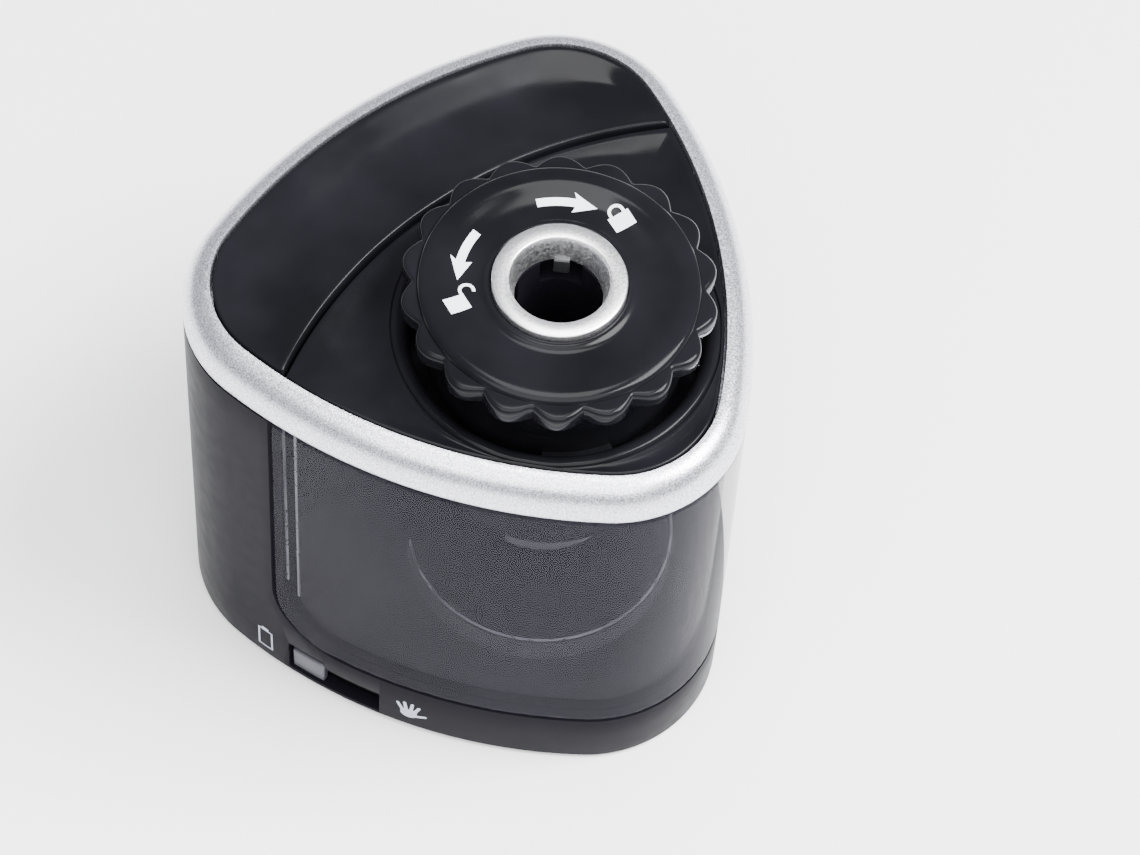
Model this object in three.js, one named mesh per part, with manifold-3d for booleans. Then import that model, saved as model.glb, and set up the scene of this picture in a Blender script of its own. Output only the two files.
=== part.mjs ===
// Battery pencil sharpener with a rounded triangular body, a removable cutter knob and a chip drawer.
// Millimetres, +Z up. The drawer faces -Y. Origin: the middle of the footprint, on the table.
import * as THREE from 'three';
import { mergeVertices } from 'three/addons/utils/BufferGeometryUtils.js';
import Module from 'manifold-3d';

const wasm = await Module();
wasm.setup();

// ---- driving dimensions -------------------------------------------------------------------------
const bodyWidth = 80;             // widest across the bezel
const cornerRadius = 18.84;       // rounded corners of the plan
const sideRadius = 80.82;         // bowed sides of the plan
const flare = 1.5;                // how far the walls lean out from the bezel down to the table
const wall = 2;                   // moulded wall thickness
const gap = 0.3;                  // clearance between separate mouldings

const shellBottom = 0.8;
const shellTop = 69;
const bezelBottom = 69.3;
const bezelTop = 75.17;
const bezelReach = 4.02;          // how far the bezel's top edge stands in from the outline
const ledgeTop = 71;
const ledgeReach = 7.5;           // inner edge of the bezel's ledge, in from the outline
const deckTop = 75;
const plinthTop = 12;             // top of the dark plinth under the drawer
const partitionFront = 2.2;       // wall between the drawer and the batteries
const partitionBack = 3.4;
const partitionTop = 56;

const drawerBottom = 12.3;
const drawerBack = 1;             // rear face of the drawer
const drawerCorner = 10.6;        // rounded lower rear corners of the drawer, seen from the side
const notchHalf = 17.6;           // notch in the drawer's rear wall, clear of the cutter
const notchBottom = 25;
const stepRadius = 20;            // raised round step in the drawer's floor
const stepTop = 19.8;
const stepBossRadius = 5;
const stepBossTop = 21.5;

const coverTop = 2.8;
const doorHalf = 24;              // battery door, half its width
const doorFront = 6;
const doorBack = 24;
const footRadius = 3;
const footPlaces = [[0, -36], [-29, 14], [29, 14], [0, 29.5]];
const screwPlaces = [[-17, -24], [17, -24], [-9, 31.2], [9, 31.2]];
const screwRadius = 0.9;
const screwHeadRadius = 1.9;
const screwSeat = 1.9;            // underside of a screw's head rests here
const screwTop = 8.5;

const knobY = -12.81;             // knob and pencil axis, from the centre of the triangle
const wellRadius = 20;
const wellFloor = 67.2;
const neckRadius = 17.8;
const scallopCount = 18;
const scallopPeak = 21.3;
const scallopValley = 19.6;
const flangeBottom = 81.6;
const flangeTop = 84.5;
const drumRadius = 19;
const rimInner = 16.4;            // flat rim round the knob's dished top
const rimOuter = 17.6;
const dishDepth = 0.9;
const knobBottom = 68.8;
const knobTop = 85.4;
const ringTop = 85.66;
const ringRadius = 9.12;
const pencilBore = 5.9;
const tubeRadius = 9;             // guide tube under the pencil hole
const tubeNoseRadius = 7.2;
const tubeBottom = 58;
const tubeNoseTop = 64.2;
const tubeTop = 83.1;
const keySlotInner = 5;           // key slots round the pencil hole
const keySlotOuter = 7.6;
const keySlotHalf = 2;
const keySlotBottom = 70;
const feelerAngle = 46;           // the feeler looks into the pencil hole towards +X+Y
const feelerHalf = 1.15;
const feelerBottom = 78.6;
const feelerTop = 82.3;
const feelerInner = 5.2;          // the feeler's nose, just inside the pencil hole
const feelerOuter = 11;
const feelerRoomHalf = 2.95;      // window in the guide tube round the feeler's nose
const feelerTravel = 1.4;
const housingRadius = 16.8;       // fixed sleeve round the cutter
const housingInner = 15.4;
const housingBottom = 44;
const shelfInner = 12.9;          // shelf in the sleeve that carries the ring gear
const shelfBottom = 50;
const shelfTop = 51.4;
const ringGearRadius = 15.2;
const ringGearTop = 54.6;
const lugCount = 3;               // bayonet lugs that lock the knob under its catch ledges
const lugHalfTurn = 15;
const lugInner = 17;
const lugOuter = 19.6;
const lugBottom = 69.2;
const lugTop = 70.8;
const ledgeHalfTurn = 20;
const ledgeInner = 18.4;
const catchBottom = 71.2;
const catchTop = 72.8;

const partingRadius = 67.6;       // arc between the rear and the front top panels
const partingY = -55.3;

const gearModule = 0.6;
const carrierTeeth = 48;
const idlerTeeth = 15;
const compoundSmallTeeth = 10;
const compoundBigTeeth = 28;
const motorTeeth = 8;
const ringGearTeeth = 43;
const cutterPinionTeeth = 14;
const cutterTilt = Math.atan(0.2);
const cutterRadius = 4;
const cutterLength = 20;
const pencilTipZ = 30;
const carrierBottom = 26;
const carrierRadius = 11.8;
const carrierNose = 5.6;          // narrow lower end of the carrier
const carrierNoseTop = 29.6;
const carrierFlareTop = 33;
const carrierHead = 13.4;         // wider head under the carrier's teeth
const carrierShoulder = 55.6;
const pencilTop = 51;             // the pencil's full width starts here
const pencilRoom = 4.4;
const gearBottom = 59;
const gearTopLow = 63;            // top of the carrier's and idler's teeth
const gearTopHigh = 66.4;         // top of the motor's teeth
const plateBottom = 57.6;         // plate that holds the gears and the motor
const plateTop = 58.8;
const axleRadius = 1;

const motorPlace = [0, 18.66];
const motorRadius = 10;
const motorHalfDepth = 7.5;
const motorBottom = 31;
const motorTop = 56.8;
const motorBossRadius = 3;
const compoundPlace = [-8.5, 12];
const batteryRadius = 7.1;
const batteryBottom = 7;
const batteryLength = 50;
const batteryPlaces = [[-30, 11], [-19.3, 21.5], [19.3, 21.5], [30, 11]];
const strapHalf = 3;              // nickel strap that links two cells
const strapEnd = 3.5;
const strapThickness = 0.4;

const slotMiddle = -51.9;         // switch slot, measured along the wall from the front corner
const slotHalf = 7.7;
const slotBottom = 1.9;
const slotTop = 7.5;
const sliderLength = 5.6;
const sliderRest = -56.4;
const sliderHeight = 5;           // height at which the slider meets the leaning wall
const stemBottom = 3.7;           // stem behind the slider, inside the switch
const stemTop = 5.3;

// ---- plan outline -------------------------------------------------------------------------------
const rho = 2 * (bodyWidth / 2 - cornerRadius) / Math.sqrt(3);
const farSide = rho / 2;
const sideCentre = Math.sqrt((sideRadius - cornerRadius) ** 2 - (rho * Math.sqrt(3) / 2) ** 2) - farSide;
const sideTurn = 2 * Math.atan2(rho * Math.sqrt(3) / 2, sideCentre + farSide);
const cornerTurn = 2 * Math.PI / 3 - sideTurn;
const planShift = (rho + cornerRadius - (sideRadius - sideCentre)) / 2;

// Points of the rounded triangle, moved outwards by offset, anticlockwise from the front corner.
function outline(offset, cornerSteps = 8, sideSteps = 8) {
  const points = [];
  for (let k = 0; k < 3; k += 1) {
    const cornerAngle = -Math.PI / 2 + k * 2 * Math.PI / 3;
    const sideAngle = cornerAngle + Math.PI / 3;
    const corner = [rho * Math.cos(cornerAngle), rho * Math.sin(cornerAngle)];
    const centre = [-sideCentre * Math.cos(sideAngle), -sideCentre * Math.sin(sideAngle)];
    for (let i = 0; i < cornerSteps; i += 1) {
      const t = cornerAngle - cornerTurn / 2 + cornerTurn * i / cornerSteps;
      const r = cornerRadius + offset;
      points.push(new THREE.Vector2(corner[0] + r * Math.cos(t), corner[1] + r * Math.sin(t)));
    }
    for (let i = 0; i < sideSteps; i += 1) {
      const t = sideAngle - sideTurn / 2 + sideTurn * i / sideSteps;
      const r = sideRadius + offset;
      points.push(new THREE.Vector2(centre[0] + r * Math.cos(t), centre[1] + r * Math.sin(t)));
    }
  }
  return points;
}

// How far the wall stands outside the outline at a height.
function wallOffset(z) {
  return flare * (shellTop - z) / shellTop;
}

// A point on the side wall: s runs along the outline from the front corner, negative to the left.
function wallPlace(s, offset) {
  const cornerHalf = cornerRadius * cornerTurn / 2;
  const side = Math.sign(s);
  const angle = -Math.PI / 2 + side * (cornerTurn / 2 + (Math.abs(s) - cornerHalf) / sideRadius);
  const middle = -Math.PI / 2 + side * Math.PI / 3;
  const r = sideRadius + offset;
  const x = -sideCentre * Math.cos(middle) + r * Math.cos(angle);
  const y = -sideCentre * Math.sin(middle) + r * Math.sin(angle);
  return { x, y, angle };
}

// ---- solids -------------------------------------------------------------------------------------
function solid(geometry) {
  const plain = geometry.clone();
  plain.deleteAttribute('normal');
  plain.deleteAttribute('uv');
  const merged = mergeVertices(plain, 1e-5);
  const vertProperties = new Float32Array(merged.attributes.position.array);
  const triVerts = new Uint32Array(merged.index.array);
  return new wasm.Manifold(new wasm.Mesh({ numProp: 3, vertProperties, triVerts }));
}

function toGeometry(body) {
  const mesh = body.getMesh();
  const geometry = new THREE.BufferGeometry();
  geometry.setAttribute('position', new THREE.BufferAttribute(new Float32Array(mesh.vertProperties), 3));
  geometry.setIndex(new THREE.BufferAttribute(new Uint32Array(mesh.triVerts), 1));
  return geometry;
}

// A closed solid through rings of equal point count; each ring is { points, z }.
function loft(rings) {
  const count = rings[0].points.length;
  const positions = [];
  for (const ring of rings) {
    for (const p of ring.points) {
      positions.push(p.x, p.y, ring.z);
    }
  }
  const index = [];
  for (let k = 0; k + 1 < rings.length; k += 1) {
    for (let i = 0; i < count; i += 1) {
      const a = k * count + i;
      const b = k * count + (i + 1) % count;
      index.push(a, b, b + count, a, b + count, a + count);
    }
  }
  const last = (rings.length - 1) * count;
  for (const [a, b, c] of THREE.ShapeUtils.triangulateShape(rings[0].points, [])) {
    index.push(c, b, a);
  }
  for (const [a, b, c] of THREE.ShapeUtils.triangulateShape(rings[rings.length - 1].points, [])) {
    index.push(last + a, last + b, last + c);
  }
  const geometry = new THREE.BufferGeometry();
  geometry.setAttribute('position', new THREE.Float32BufferAttribute(positions, 3));
  geometry.setIndex(index);
  return geometry;
}

// An outline solid between two heights, following the lean of the walls.
function flaredBlock(inset, bottom, top) {
  return solid(loft([
    { points: outline(wallOffset(bottom) - inset), z: bottom },
    { points: outline(wallOffset(top) - inset), z: top },
  ]));
}

function outlineBlock(offset, bottom, top) {
  return solid(loft([
    { points: outline(offset), z: bottom },
    { points: outline(offset), z: top },
  ]));
}

function cylinder(radius, bottom, top, x = 0, y = 0, sides = 32, topRadius = radius) {
  const geometry = new THREE.CylinderGeometry(topRadius, radius, top - bottom, sides);
  geometry.rotateX(Math.PI / 2);
  geometry.translate(x, y, (top + bottom) / 2);
  return solid(geometry);
}

function box(x0, x1, y0, y1, z0, z1) {
  const geometry = new THREE.BoxGeometry(x1 - x0, y1 - y0, z1 - z0);
  geometry.translate((x0 + x1) / 2, (y0 + y1) / 2, (z0 + z1) / 2);
  return solid(geometry);
}

// A block of the side wall's curve: s0..s1 along the wall, d0..d1 outwards from it.
function wallBlock(s0, s1, d0, d1, z0, z1, steps = 4) {
  const points = [];
  for (let i = 0; i <= steps; i += 1) {
    const p = wallPlace(s0 + (s1 - s0) * i / steps, d1);
    points.push(new THREE.Vector2(p.x, p.y));
  }
  for (let i = steps; i >= 0; i -= 1) {
    const p = wallPlace(s0 + (s1 - s0) * i / steps, d0);
    points.push(new THREE.Vector2(p.x, p.y));
  }
  return solid(loft([{ points, z: z0 }, { points, z: z1 }]));
}

function lathe(profile, sides = 36) {
  const points = profile.map(([r, z]) => new THREE.Vector2(r, z));
  const geometry = new THREE.LatheGeometry(points, sides);
  geometry.rotateX(Math.PI / 2);
  return solid(geometry);
}

// A turned ring or tube from its four corners, closed on itself.
function tube(inner, outer, bottom, top, sides = 36) {
  return lathe([[inner, bottom], [outer, bottom], [outer, top], [inner, top], [inner, bottom]], sides);
}

// A wedge of a ring between two angles, in degrees.
function ringSector(inner, outer, bottom, top, from, to, steps = 6) {
  const points = [];
  for (let i = 0; i <= steps; i += 1) {
    const t = THREE.MathUtils.degToRad(from + (to - from) * i / steps);
    points.push(new THREE.Vector2(outer * Math.cos(t), outer * Math.sin(t)));
  }
  for (let i = steps; i >= 0; i -= 1) {
    const t = THREE.MathUtils.degToRad(from + (to - from) * i / steps);
    points.push(new THREE.Vector2(inner * Math.cos(t), inner * Math.sin(t)));
  }
  return solid(loft([{ points, z: bottom }, { points, z: top }]));
}

// ---- gears --------------------------------------------------------------------------------------
const pitchRadius = (teeth) => teeth * gearModule / 2;

// Outline of a spur gear with straight-sided teeth; phase is the direction of one tooth's middle.
function gearOutline(teeth, phase, tip = 0.5, root = 0.75) {
  const pitch = pitchRadius(teeth);
  const points = [];
  for (let i = 0; i < teeth; i += 1) {
    const middle = phase + i * 2 * Math.PI / teeth;
    const foot = 0.55 / (pitch - root);
    const crown = 0.17 / (pitch + tip);
    points.push([pitch - root, middle - foot], [pitch + tip, middle - crown]);
    points.push([pitch + tip, middle + crown], [pitch - root, middle + foot]);
  }
  return points.map(([r, t]) => new THREE.Vector2(r * Math.cos(t), r * Math.sin(t)));
}

function gear(teeth, phase, bottom, top) {
  const points = gearOutline(teeth, phase);
  return solid(loft([{ points, z: bottom }, { points, z: top }]));
}

// Phase that puts a gear's gap where its neighbour has a tooth.
function meshingPhase(from, fromTeeth, fromPhase, to, toTeeth) {
  const direction = Math.atan2(to[1] - from[1], to[0] - from[0]);
  const share = (direction - fromPhase) * fromTeeth / (2 * Math.PI);
  return direction + Math.PI - 2 * Math.PI / toTeeth * (0.5 - share);
}

// The idler stands where it touches both the carrier gear and the compound gear.
function idlerCentre() {
  const near = pitchRadius(carrierTeeth) + pitchRadius(idlerTeeth);
  const far = pitchRadius(idlerTeeth) + pitchRadius(compoundSmallTeeth);
  const dx = compoundPlace[0];
  const dy = compoundPlace[1] - knobY;
  const span = Math.hypot(dx, dy);
  const along = (near ** 2 - far ** 2 + span ** 2) / (2 * span);
  const aside = Math.sqrt(near ** 2 - along ** 2);
  return [(dx * along + dy * aside) / span, knobY + (dy * along - dx * aside) / span];
}

const idlerPlace = idlerCentre();
const knobPlace = [0, knobY];
const idlerPhase = meshingPhase(knobPlace, carrierTeeth, 0, idlerPlace, idlerTeeth);
const compoundPhase = meshingPhase(idlerPlace, idlerTeeth, idlerPhase, compoundPlace, compoundSmallTeeth);
const motorPhase = meshingPhase(compoundPlace, compoundBigTeeth, compoundPhase, motorPlace, motorTeeth);

// ---- materials ----------------------------------------------------------------------------------
function finish(color, roughness, metalness) {
  return new THREE.MeshStandardMaterial({ color, roughness, metalness });
}

const glossBlack = finish(0x15151a, 0.15, 0);
const satinBlack = finish(0x1d1c22, 0.35, 0);
const silver = finish(0xcfcfd2, 0.32, 0.9);
const smoke = finish(0x5c5c66, 0.08, 0);
const steel = finish(0xa9abb0, 0.3, 1);
const whitePlastic = finish(0xe3e1da, 0.45, 0);
const greyPlastic = finish(0xb9bac4, 0.4, 0);
const darkGrey = finish(0x3c3c40, 0.4, 0);
const rubber = finish(0x222222, 0.9, 0);
const batteryGreen = finish(0x2f6b4a, 0.4, 0.2);
const nickel = finish(0xc9c6bd, 0.3, 1);

const sharpener = new THREE.Group();
sharpener.position.set(0, planShift, 0);

function add(name, body, material, x = 0, y = 0, z = 0) {
  const mesh = new THREE.Mesh(toGeometry(body), material);
  mesh.name = name;
  mesh.position.set(x, y, z);
  sharpener.add(mesh);
  return mesh;
}

// ---- casings ------------------------------------------------------------------------------------
// Side view of the drawer with its rounded lower rear corner, run across the whole width.
function drawerSide(margin, bottom, top, back) {
  const radius = drawerCorner + margin;
  const shape = new THREE.Shape();
  shape.moveTo(-60, bottom);
  shape.lineTo(back - radius, bottom);
  shape.absarc(back - radius, bottom + radius, radius, -Math.PI / 2, 0, false);
  shape.lineTo(back, top);
  shape.lineTo(-60, top);
  const geometry = new THREE.ExtrudeGeometry(shape, { depth: 120, bevelEnabled: false, curveSegments: 7 });
  geometry.rotateX(Math.PI / 2);
  geometry.rotateZ(Math.PI / 2);
  geometry.translate(-60, 0, 0);
  return solid(geometry);
}

// Bosses that the cover's screws bite into; the rear pair grows out of the back wall.
function screwBosses() {
  let bosses = null;
  for (const [x, y] of screwPlaces) {
    const hole = cylinder(screwRadius + 0.05, coverTop - 0.8, plinthTop - wall - 0.6, x, y, 10);
    const boss = cylinder(3, coverTop + gap, plinthTop - wall + 0.5, x, y, 20).subtract(hole);
    bosses = bosses ? bosses.add(boss) : boss;
  }
  return bosses;
}

function makeBodyShell() {
  const skin = flaredBlock(0, shellBottom, shellTop)
    .subtract(flaredBlock(wall, shellBottom - 1, shellTop + 1));
  const inside = flaredBlock(wall - 0.05, plinthTop - wall, shellTop);
  const floor = inside.intersect(box(-60, 60, -60, partitionBack, plinthTop - wall, plinthTop));
  const panel = box(-60, 60, partitionFront, partitionBack, plinthTop - wall, partitionTop);
  const partition = inside.intersect(panel);
  const around = 0.7;
  const mouth = drawerSide(around, drawerBottom - around, shellTop + 5, drawerBack + around);
  const mouthBelow = box(-60, 60, -60, drawerBack - 8, plinthTop, shellTop + 5);
  const slot = wallBlock(slotMiddle - slotHalf, slotMiddle + slotHalf, -4, 4, slotBottom, slotTop);
  const opening = mouth.add(mouthBelow).intersect(box(-60, 60, -60, 60, plinthTop, shellTop + 5));
  return skin.subtract(opening).add(floor).add(partition).add(screwBosses()).subtract(slot)
    .subtract(cylinder(housingRadius + gap, 30, 70, 0, knobY));
}

function makeBezel() {
  const steps = 6;
  const rings = [{ points: outline(0), z: bezelBottom }];
  for (let i = 1; i <= steps; i += 1) {
    const t = i / steps * Math.PI / 2;
    const height = bezelBottom + 0.8 + (bezelTop - bezelBottom - 0.8) * Math.sin(t);
    rings.push({ points: outline(-bezelReach * (1 - Math.cos(t))), z: height });
  }
  rings.splice(1, 0, { points: outline(0), z: bezelBottom + 0.8 });
  const ledgeHole = outlineBlock(-ledgeReach, bezelBottom - 1, ledgeTop + 1);
  return solid(loft(rings))
    .subtract(outlineBlock(-bezelReach, ledgeTop, bezelTop + 1))
    .subtract(ledgeHole);
}

function deckPlate(top) {
  const plate = outlineBlock(-bezelReach - 0.25, ledgeTop + 0.02, top);
  const hollow = outlineBlock(-bezelReach - 2, ledgeTop - 1, top - wall);
  return { plate, hollow };
}

function makeRearDeck() {
  const { plate, hollow } = deckPlate(deckTop + 0.15);
  const front = cylinder(partingRadius + 0.2, 60, 80, 0, partingY, 96);
  const hollowFront = cylinder(partingRadius + 2, 60, 80, 0, partingY, 96);
  return plate.subtract(front).subtract(hollow.subtract(hollowFront));
}

function makeFrontDeck() {
  const { plate, hollow } = deckPlate(deckTop);
  const arc = cylinder(partingRadius - 0.2, 60, 80, 0, partingY, 96);
  const hollowArc = cylinder(partingRadius - 2, 60, 80, 0, partingY, 96);
  const collar = tube(wellRadius, wellRadius + 1.6, wellFloor, deckTop, 48).translate([0, knobY, 0]);
  const well = cylinder(wellRadius, wellFloor - 2, 80, 0, knobY, 48);
  const floor = tube(16.4, wellRadius + 1, wellFloor, wellFloor + 1.2, 48).translate([0, knobY, 0]);
  const inside = outlineBlock(-bezelReach - 0.25, wellFloor - 1, deckTop);
  const clearLedge = outlineBlock(-ledgeReach - gap, wellFloor - 1, ledgeTop + 0.02);
  const aboveLedge = outlineBlock(-bezelReach - 0.25, ledgeTop + 0.02, deckTop);
  let deck = plate.intersect(arc).subtract(hollow.intersect(hollowArc));
  deck = deck.add(collar.intersect(inside).intersect(clearLedge.add(aboveLedge))).subtract(well);
  deck = deck.add(floor.intersect(clearLedge.add(aboveLedge)));
  for (let k = 0; k < lugCount; k += 1) {
    const middle = k * 360 / lugCount;
    const from = middle - ledgeHalfTurn;
    const to = middle + ledgeHalfTurn;
    const catchLedge = ringSector(ledgeInner, wellRadius + 0.5, catchBottom, catchTop, from, to);
    deck = deck.add(catchLedge.translate([0, knobY, 0]));
  }
  return deck;
}

function makeDrawer() {
  const outer = flaredBlock(0, drawerBottom, shellTop - 0.2).intersect(
    drawerSide(0, drawerBottom, shellTop - 0.2, drawerBack));
  const inner = flaredBlock(wall, drawerBottom + wall, shellTop + 2).intersect(
    drawerSide(-wall, drawerBottom + wall, shellTop + 2, drawerBack - wall));
  const notch = box(-notchHalf, notchHalf, drawerBack - 6, drawerBack + 1, notchBottom, shellTop + 5);
  const step = cylinder(stepRadius, drawerBottom + wall - 0.5, stepTop, 0, knobY, 48)
    .intersect(drawerSide(0, drawerBottom, 60, drawerBack));
  const boss = cylinder(stepBossRadius, stepTop - 0.8, stepBossTop, 0, knobY, 24);
  const under = cylinder(stepRadius - 1.6, drawerBottom - 1, stepTop - 1.6, 0, knobY, 48)
    .intersect(drawerSide(-wall, drawerBottom - 2, 60, drawerBack - wall));
  const rearTrim = box(-34, 34, drawerBack - 3, drawerBack + 1, wellFloor - 0.6, shellTop + 5);
  const catchBump = wallBlock(-30, -25, -wall - 1, -wall / 2, shellTop - 2.6, shellTop - 0.2);
  return outer.subtract(inner).subtract(notch).subtract(rearTrim).add(step).add(boss).add(catchBump)
    .subtract(under);
}

function makeBaseCover() {
  const plate = outlineBlock(wallOffset(shellBottom) - wall - gap, shellBottom + 0.1, coverTop);
  const door = box(-doorHalf - gap, doorHalf + gap, doorFront - gap, doorBack + gap, 0, coverTop + 1);
  let cover = plate.subtract(door);
  for (const [x, y] of screwPlaces) {
    const hole = cylinder(screwRadius + 0.2, 0, coverTop + 1, x, y, 12);
    const counterbore = cylinder(screwHeadRadius + gap, 0, screwSeat + 0.02, x, y, 16);
    cover = cover.subtract(hole).subtract(counterbore);
  }
  return cover;
}

add('body_shell', makeBodyShell(), satinBlack);
add('bezel', makeBezel(), silver);
add('rear_deck', makeRearDeck(), glossBlack);
add('front_deck', makeFrontDeck(), glossBlack);
add('chip_drawer', makeDrawer(), smoke);
add('base_cover', makeBaseCover(), satinBlack);
add('battery_door', box(-doorHalf, doorHalf, doorFront, doorBack, shellBottom + 0.1, coverTop), satinBlack);

footPlaces.forEach(([x, y], i) => {
  add(`rubber_foot_${i + 1}`, cylinder(footRadius, 0, shellBottom + 0.08, x, y, 20), rubber);
});

screwPlaces.forEach(([x, y], i) => {
  const head = cylinder(screwHeadRadius, shellBottom + 0.2, screwSeat, x, y, 16);
  const shank = cylinder(screwRadius, screwSeat - 0.1, screwTop, x, y, 10);
  add(`cover_screw_${i + 1}`, head.add(shank), steel);
});

// ---- cutter knob --------------------------------------------------------------------------------
function scallopRing(inner, bottom, top) {
  const points = [];
  const steps = scallopCount * 6;
  for (let i = 0; i < steps; i += 1) {
    const t = i / steps * 2 * Math.PI;
    const wave = 0.5 - 0.5 * Math.cos(scallopCount * t);
    const r = scallopValley + (scallopPeak - scallopValley) * Math.sqrt(wave);
    points.push(new THREE.Vector2(r * Math.cos(t), r * Math.sin(t)));
  }
  const ring = solid(loft([{ points, z: bottom }, { points, z: top }]));
  return ring.subtract(cylinder(inner, bottom - 1, top + 1));
}

function makeKnob() {
  const bore = ringRadius + 0.02;
  let knob = lathe([
    [bore, knobBottom], [neckRadius, knobBottom], [neckRadius, flangeBottom], [drumRadius, flangeBottom],
    [drumRadius, flangeTop], [drumRadius - 0.4, knobTop - 0.3], [rimOuter, knobTop], [rimInner, knobTop],
    [rimInner - 3, knobTop - dishDepth], [bore + 1.5, knobTop - dishDepth], [bore, knobTop - 0.5],
    [bore, knobBottom],
  ], 48);
  knob = knob.add(scallopRing(neckRadius - 0.8, flangeBottom, flangeTop));
  for (let k = 0; k < lugCount; k += 1) {
    const middle = k * 360 / lugCount;
    const lug = ringSector(lugInner, lugOuter, lugBottom, lugTop, middle - lugHalfTurn, middle + lugHalfTurn);
    knob = knob.add(lug);
  }
  return knob.subtract(feelerChannel());
}

// Room that the feeler slides in, through the guide tube and into the knob.
function feelerChannel() {
  const half = feelerHalf + gap + 0.1;
  const far = feelerOuter + feelerTravel + 2.3;
  const slot = box(feelerInner - 0.7, far, -half, half, feelerBottom - gap - 0.1, feelerTop + gap);
  return slot.rotate([0, 0, feelerAngle]);
}

function makeMetalRing() {
  return lathe([
    [6.6, 83.2], [7.4, 83.2], [7.4, 83.6], [ringRadius, 83.6], [ringRadius, 85.3], [8.9, ringTop],
    [6.4, ringTop], [6, 85.1], [pencilBore, 83.2], [6.6, 83.2],
  ], 48);
}

function makeGuideTube() {
  let guide = lathe([
    [pencilBore, tubeBottom], [tubeNoseRadius, tubeBottom], [tubeNoseRadius, tubeNoseTop],
    [tubeRadius, tubeNoseTop], [tubeRadius, tubeTop], [pencilBore, tubeTop], [pencilBore, tubeBottom],
  ], 36);
  for (let k = 1; k < 4; k += 1) {
    const keySlot = box(keySlotInner, keySlotOuter, -keySlotHalf, keySlotHalf, keySlotBottom, tubeTop + 1);
    guide = guide.subtract(keySlot.rotate([0, 0, feelerAngle + 90 * k]));
  }
  const feelerRoom = box(keySlotInner, keySlotOuter, -feelerRoomHalf, feelerRoomHalf, feelerBottom - 2,
    feelerTop + gap);
  guide = guide.subtract(feelerRoom.rotate([0, 0, feelerAngle]));
  return guide.subtract(feelerChannel());
}

add('knob', makeKnob(), glossBlack, 0, knobY);
add('metal_ring', makeMetalRing(), silver, 0, knobY);
add('guide_tube', makeGuideTube(), satinBlack, 0, knobY);

const feeler = box(feelerInner, feelerOuter, -feelerHalf, feelerHalf, feelerBottom, feelerTop)
  .subtract(box(feelerInner - 0.4, feelerInner + 0.6, -2, 2, feelerBottom - 1, feelerBottom + 0.6))
  .rotate([0, 0, feelerAngle]);
add('start_feeler', feeler, darkGrey, 0, knobY);

// ---- rotating cutter ----------------------------------------------------------------------------
const cutterBaseZ = pencilTipZ - cutterRadius * Math.sin(cutterTilt);
const cutterBaseX = cutterRadius * Math.cos(cutterTilt);

// Things on the tilted cutter axis are built upright, with z measured from the axis's low end.
function tilt(body) {
  const degrees = THREE.MathUtils.radToDeg(cutterTilt);
  return body.rotate([0, degrees, 0]).translate([cutterBaseX, 0, cutterBaseZ]);
}

const pinionMiddle = (53 - cutterBaseZ) / Math.cos(cutterTilt);

function makeCarrier() {
  let carrier = gear(carrierTeeth, 0, gearBottom, gearTopLow);
  carrier = carrier.add(lathe([
    [0, carrierBottom], [carrierNose, carrierBottom], [carrierNose, carrierNoseTop],
    [carrierRadius, carrierFlareTop], [carrierRadius, carrierShoulder], [carrierHead, carrierShoulder], [carrierHead, gearBottom + 1],
    [0, gearBottom + 1],
  ], 32));
  const seat = tubeBottom - 0.5;
  const noseRoom = tubeNoseRadius + 0.2;
  const pencilCone = lathe([
    [0, pencilTipZ - 1], [pencilRoom, pencilTop], [pencilRoom, seat], [noseRoom, seat], [noseRoom, 70],
    [0, 70],
  ], 24);
  const pocket = cylinder(cutterRadius + 0.7, -0.6, cutterLength + 0.6, 0, 0, 20);
  const pocketSide = box(0, 12, -cutterRadius - 0.7, cutterRadius + 0.7, -0.6, cutterLength + 0.6);
  const pinionRoom = cylinder(5.3, pinionMiddle - 1.6, pinionMiddle + 1.6, 0, 0, 20);
  const pinionSide = box(0, 12, -5.3, 5.3, pinionMiddle - 1.6, pinionMiddle + 1.6);
  const hubRoom = cylinder(2.7, cutterLength, pinionMiddle, 0, 0, 16);
  const axleHole = cylinder(1.1, -3, pinionMiddle + 5, 0, 0, 12).add(hubRoom);
  const chipWindow = box(-14, -2, -4.5, 4.5, 32, 46);
  carrier = carrier.subtract(pencilCone).subtract(tilt(pocket.add(pocketSide)));
  carrier = carrier.subtract(tilt(pinionRoom.add(pinionSide))).subtract(tilt(axleHole));
  return carrier.subtract(chipWindow);
}

function makeHelicalCutter() {
  const flutes = 10;
  const steps = 12;
  const twist = Math.PI / 3;
  const rings = [];
  for (let k = 0; k <= steps; k += 1) {
    const points = [];
    for (let i = 0; i < flutes; i += 1) {
      const t = i / flutes * 2 * Math.PI + twist * k / steps;
      const step = Math.PI / flutes;
      points.push(new THREE.Vector2(cutterRadius * Math.cos(t), cutterRadius * Math.sin(t)));
      const root = cutterRadius - 0.8;
      points.push(new THREE.Vector2(root * Math.cos(t + step * 0.6), root * Math.sin(t + step * 0.6)));
    }
    rings.push({ points, z: k / steps * cutterLength });
  }
  return solid(loft(rings)).subtract(cylinder(1.3, -1, cutterLength + 1, 0, 0, 12));
}

function makeCutterPinion() {
  const points = gearOutline(cutterPinionTeeth, 0, 0.32, 0.6);
  const half = 1;
  const wheel = solid(loft([{ points, z: pinionMiddle - half }, { points, z: pinionMiddle + half }]));
  const hub = cylinder(2.2, cutterLength + 0.7, pinionMiddle, 0, 0, 16);
  return wheel.add(hub).subtract(cylinder(1.3, 0, pinionMiddle + 5, 0, 0, 12));
}

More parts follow.
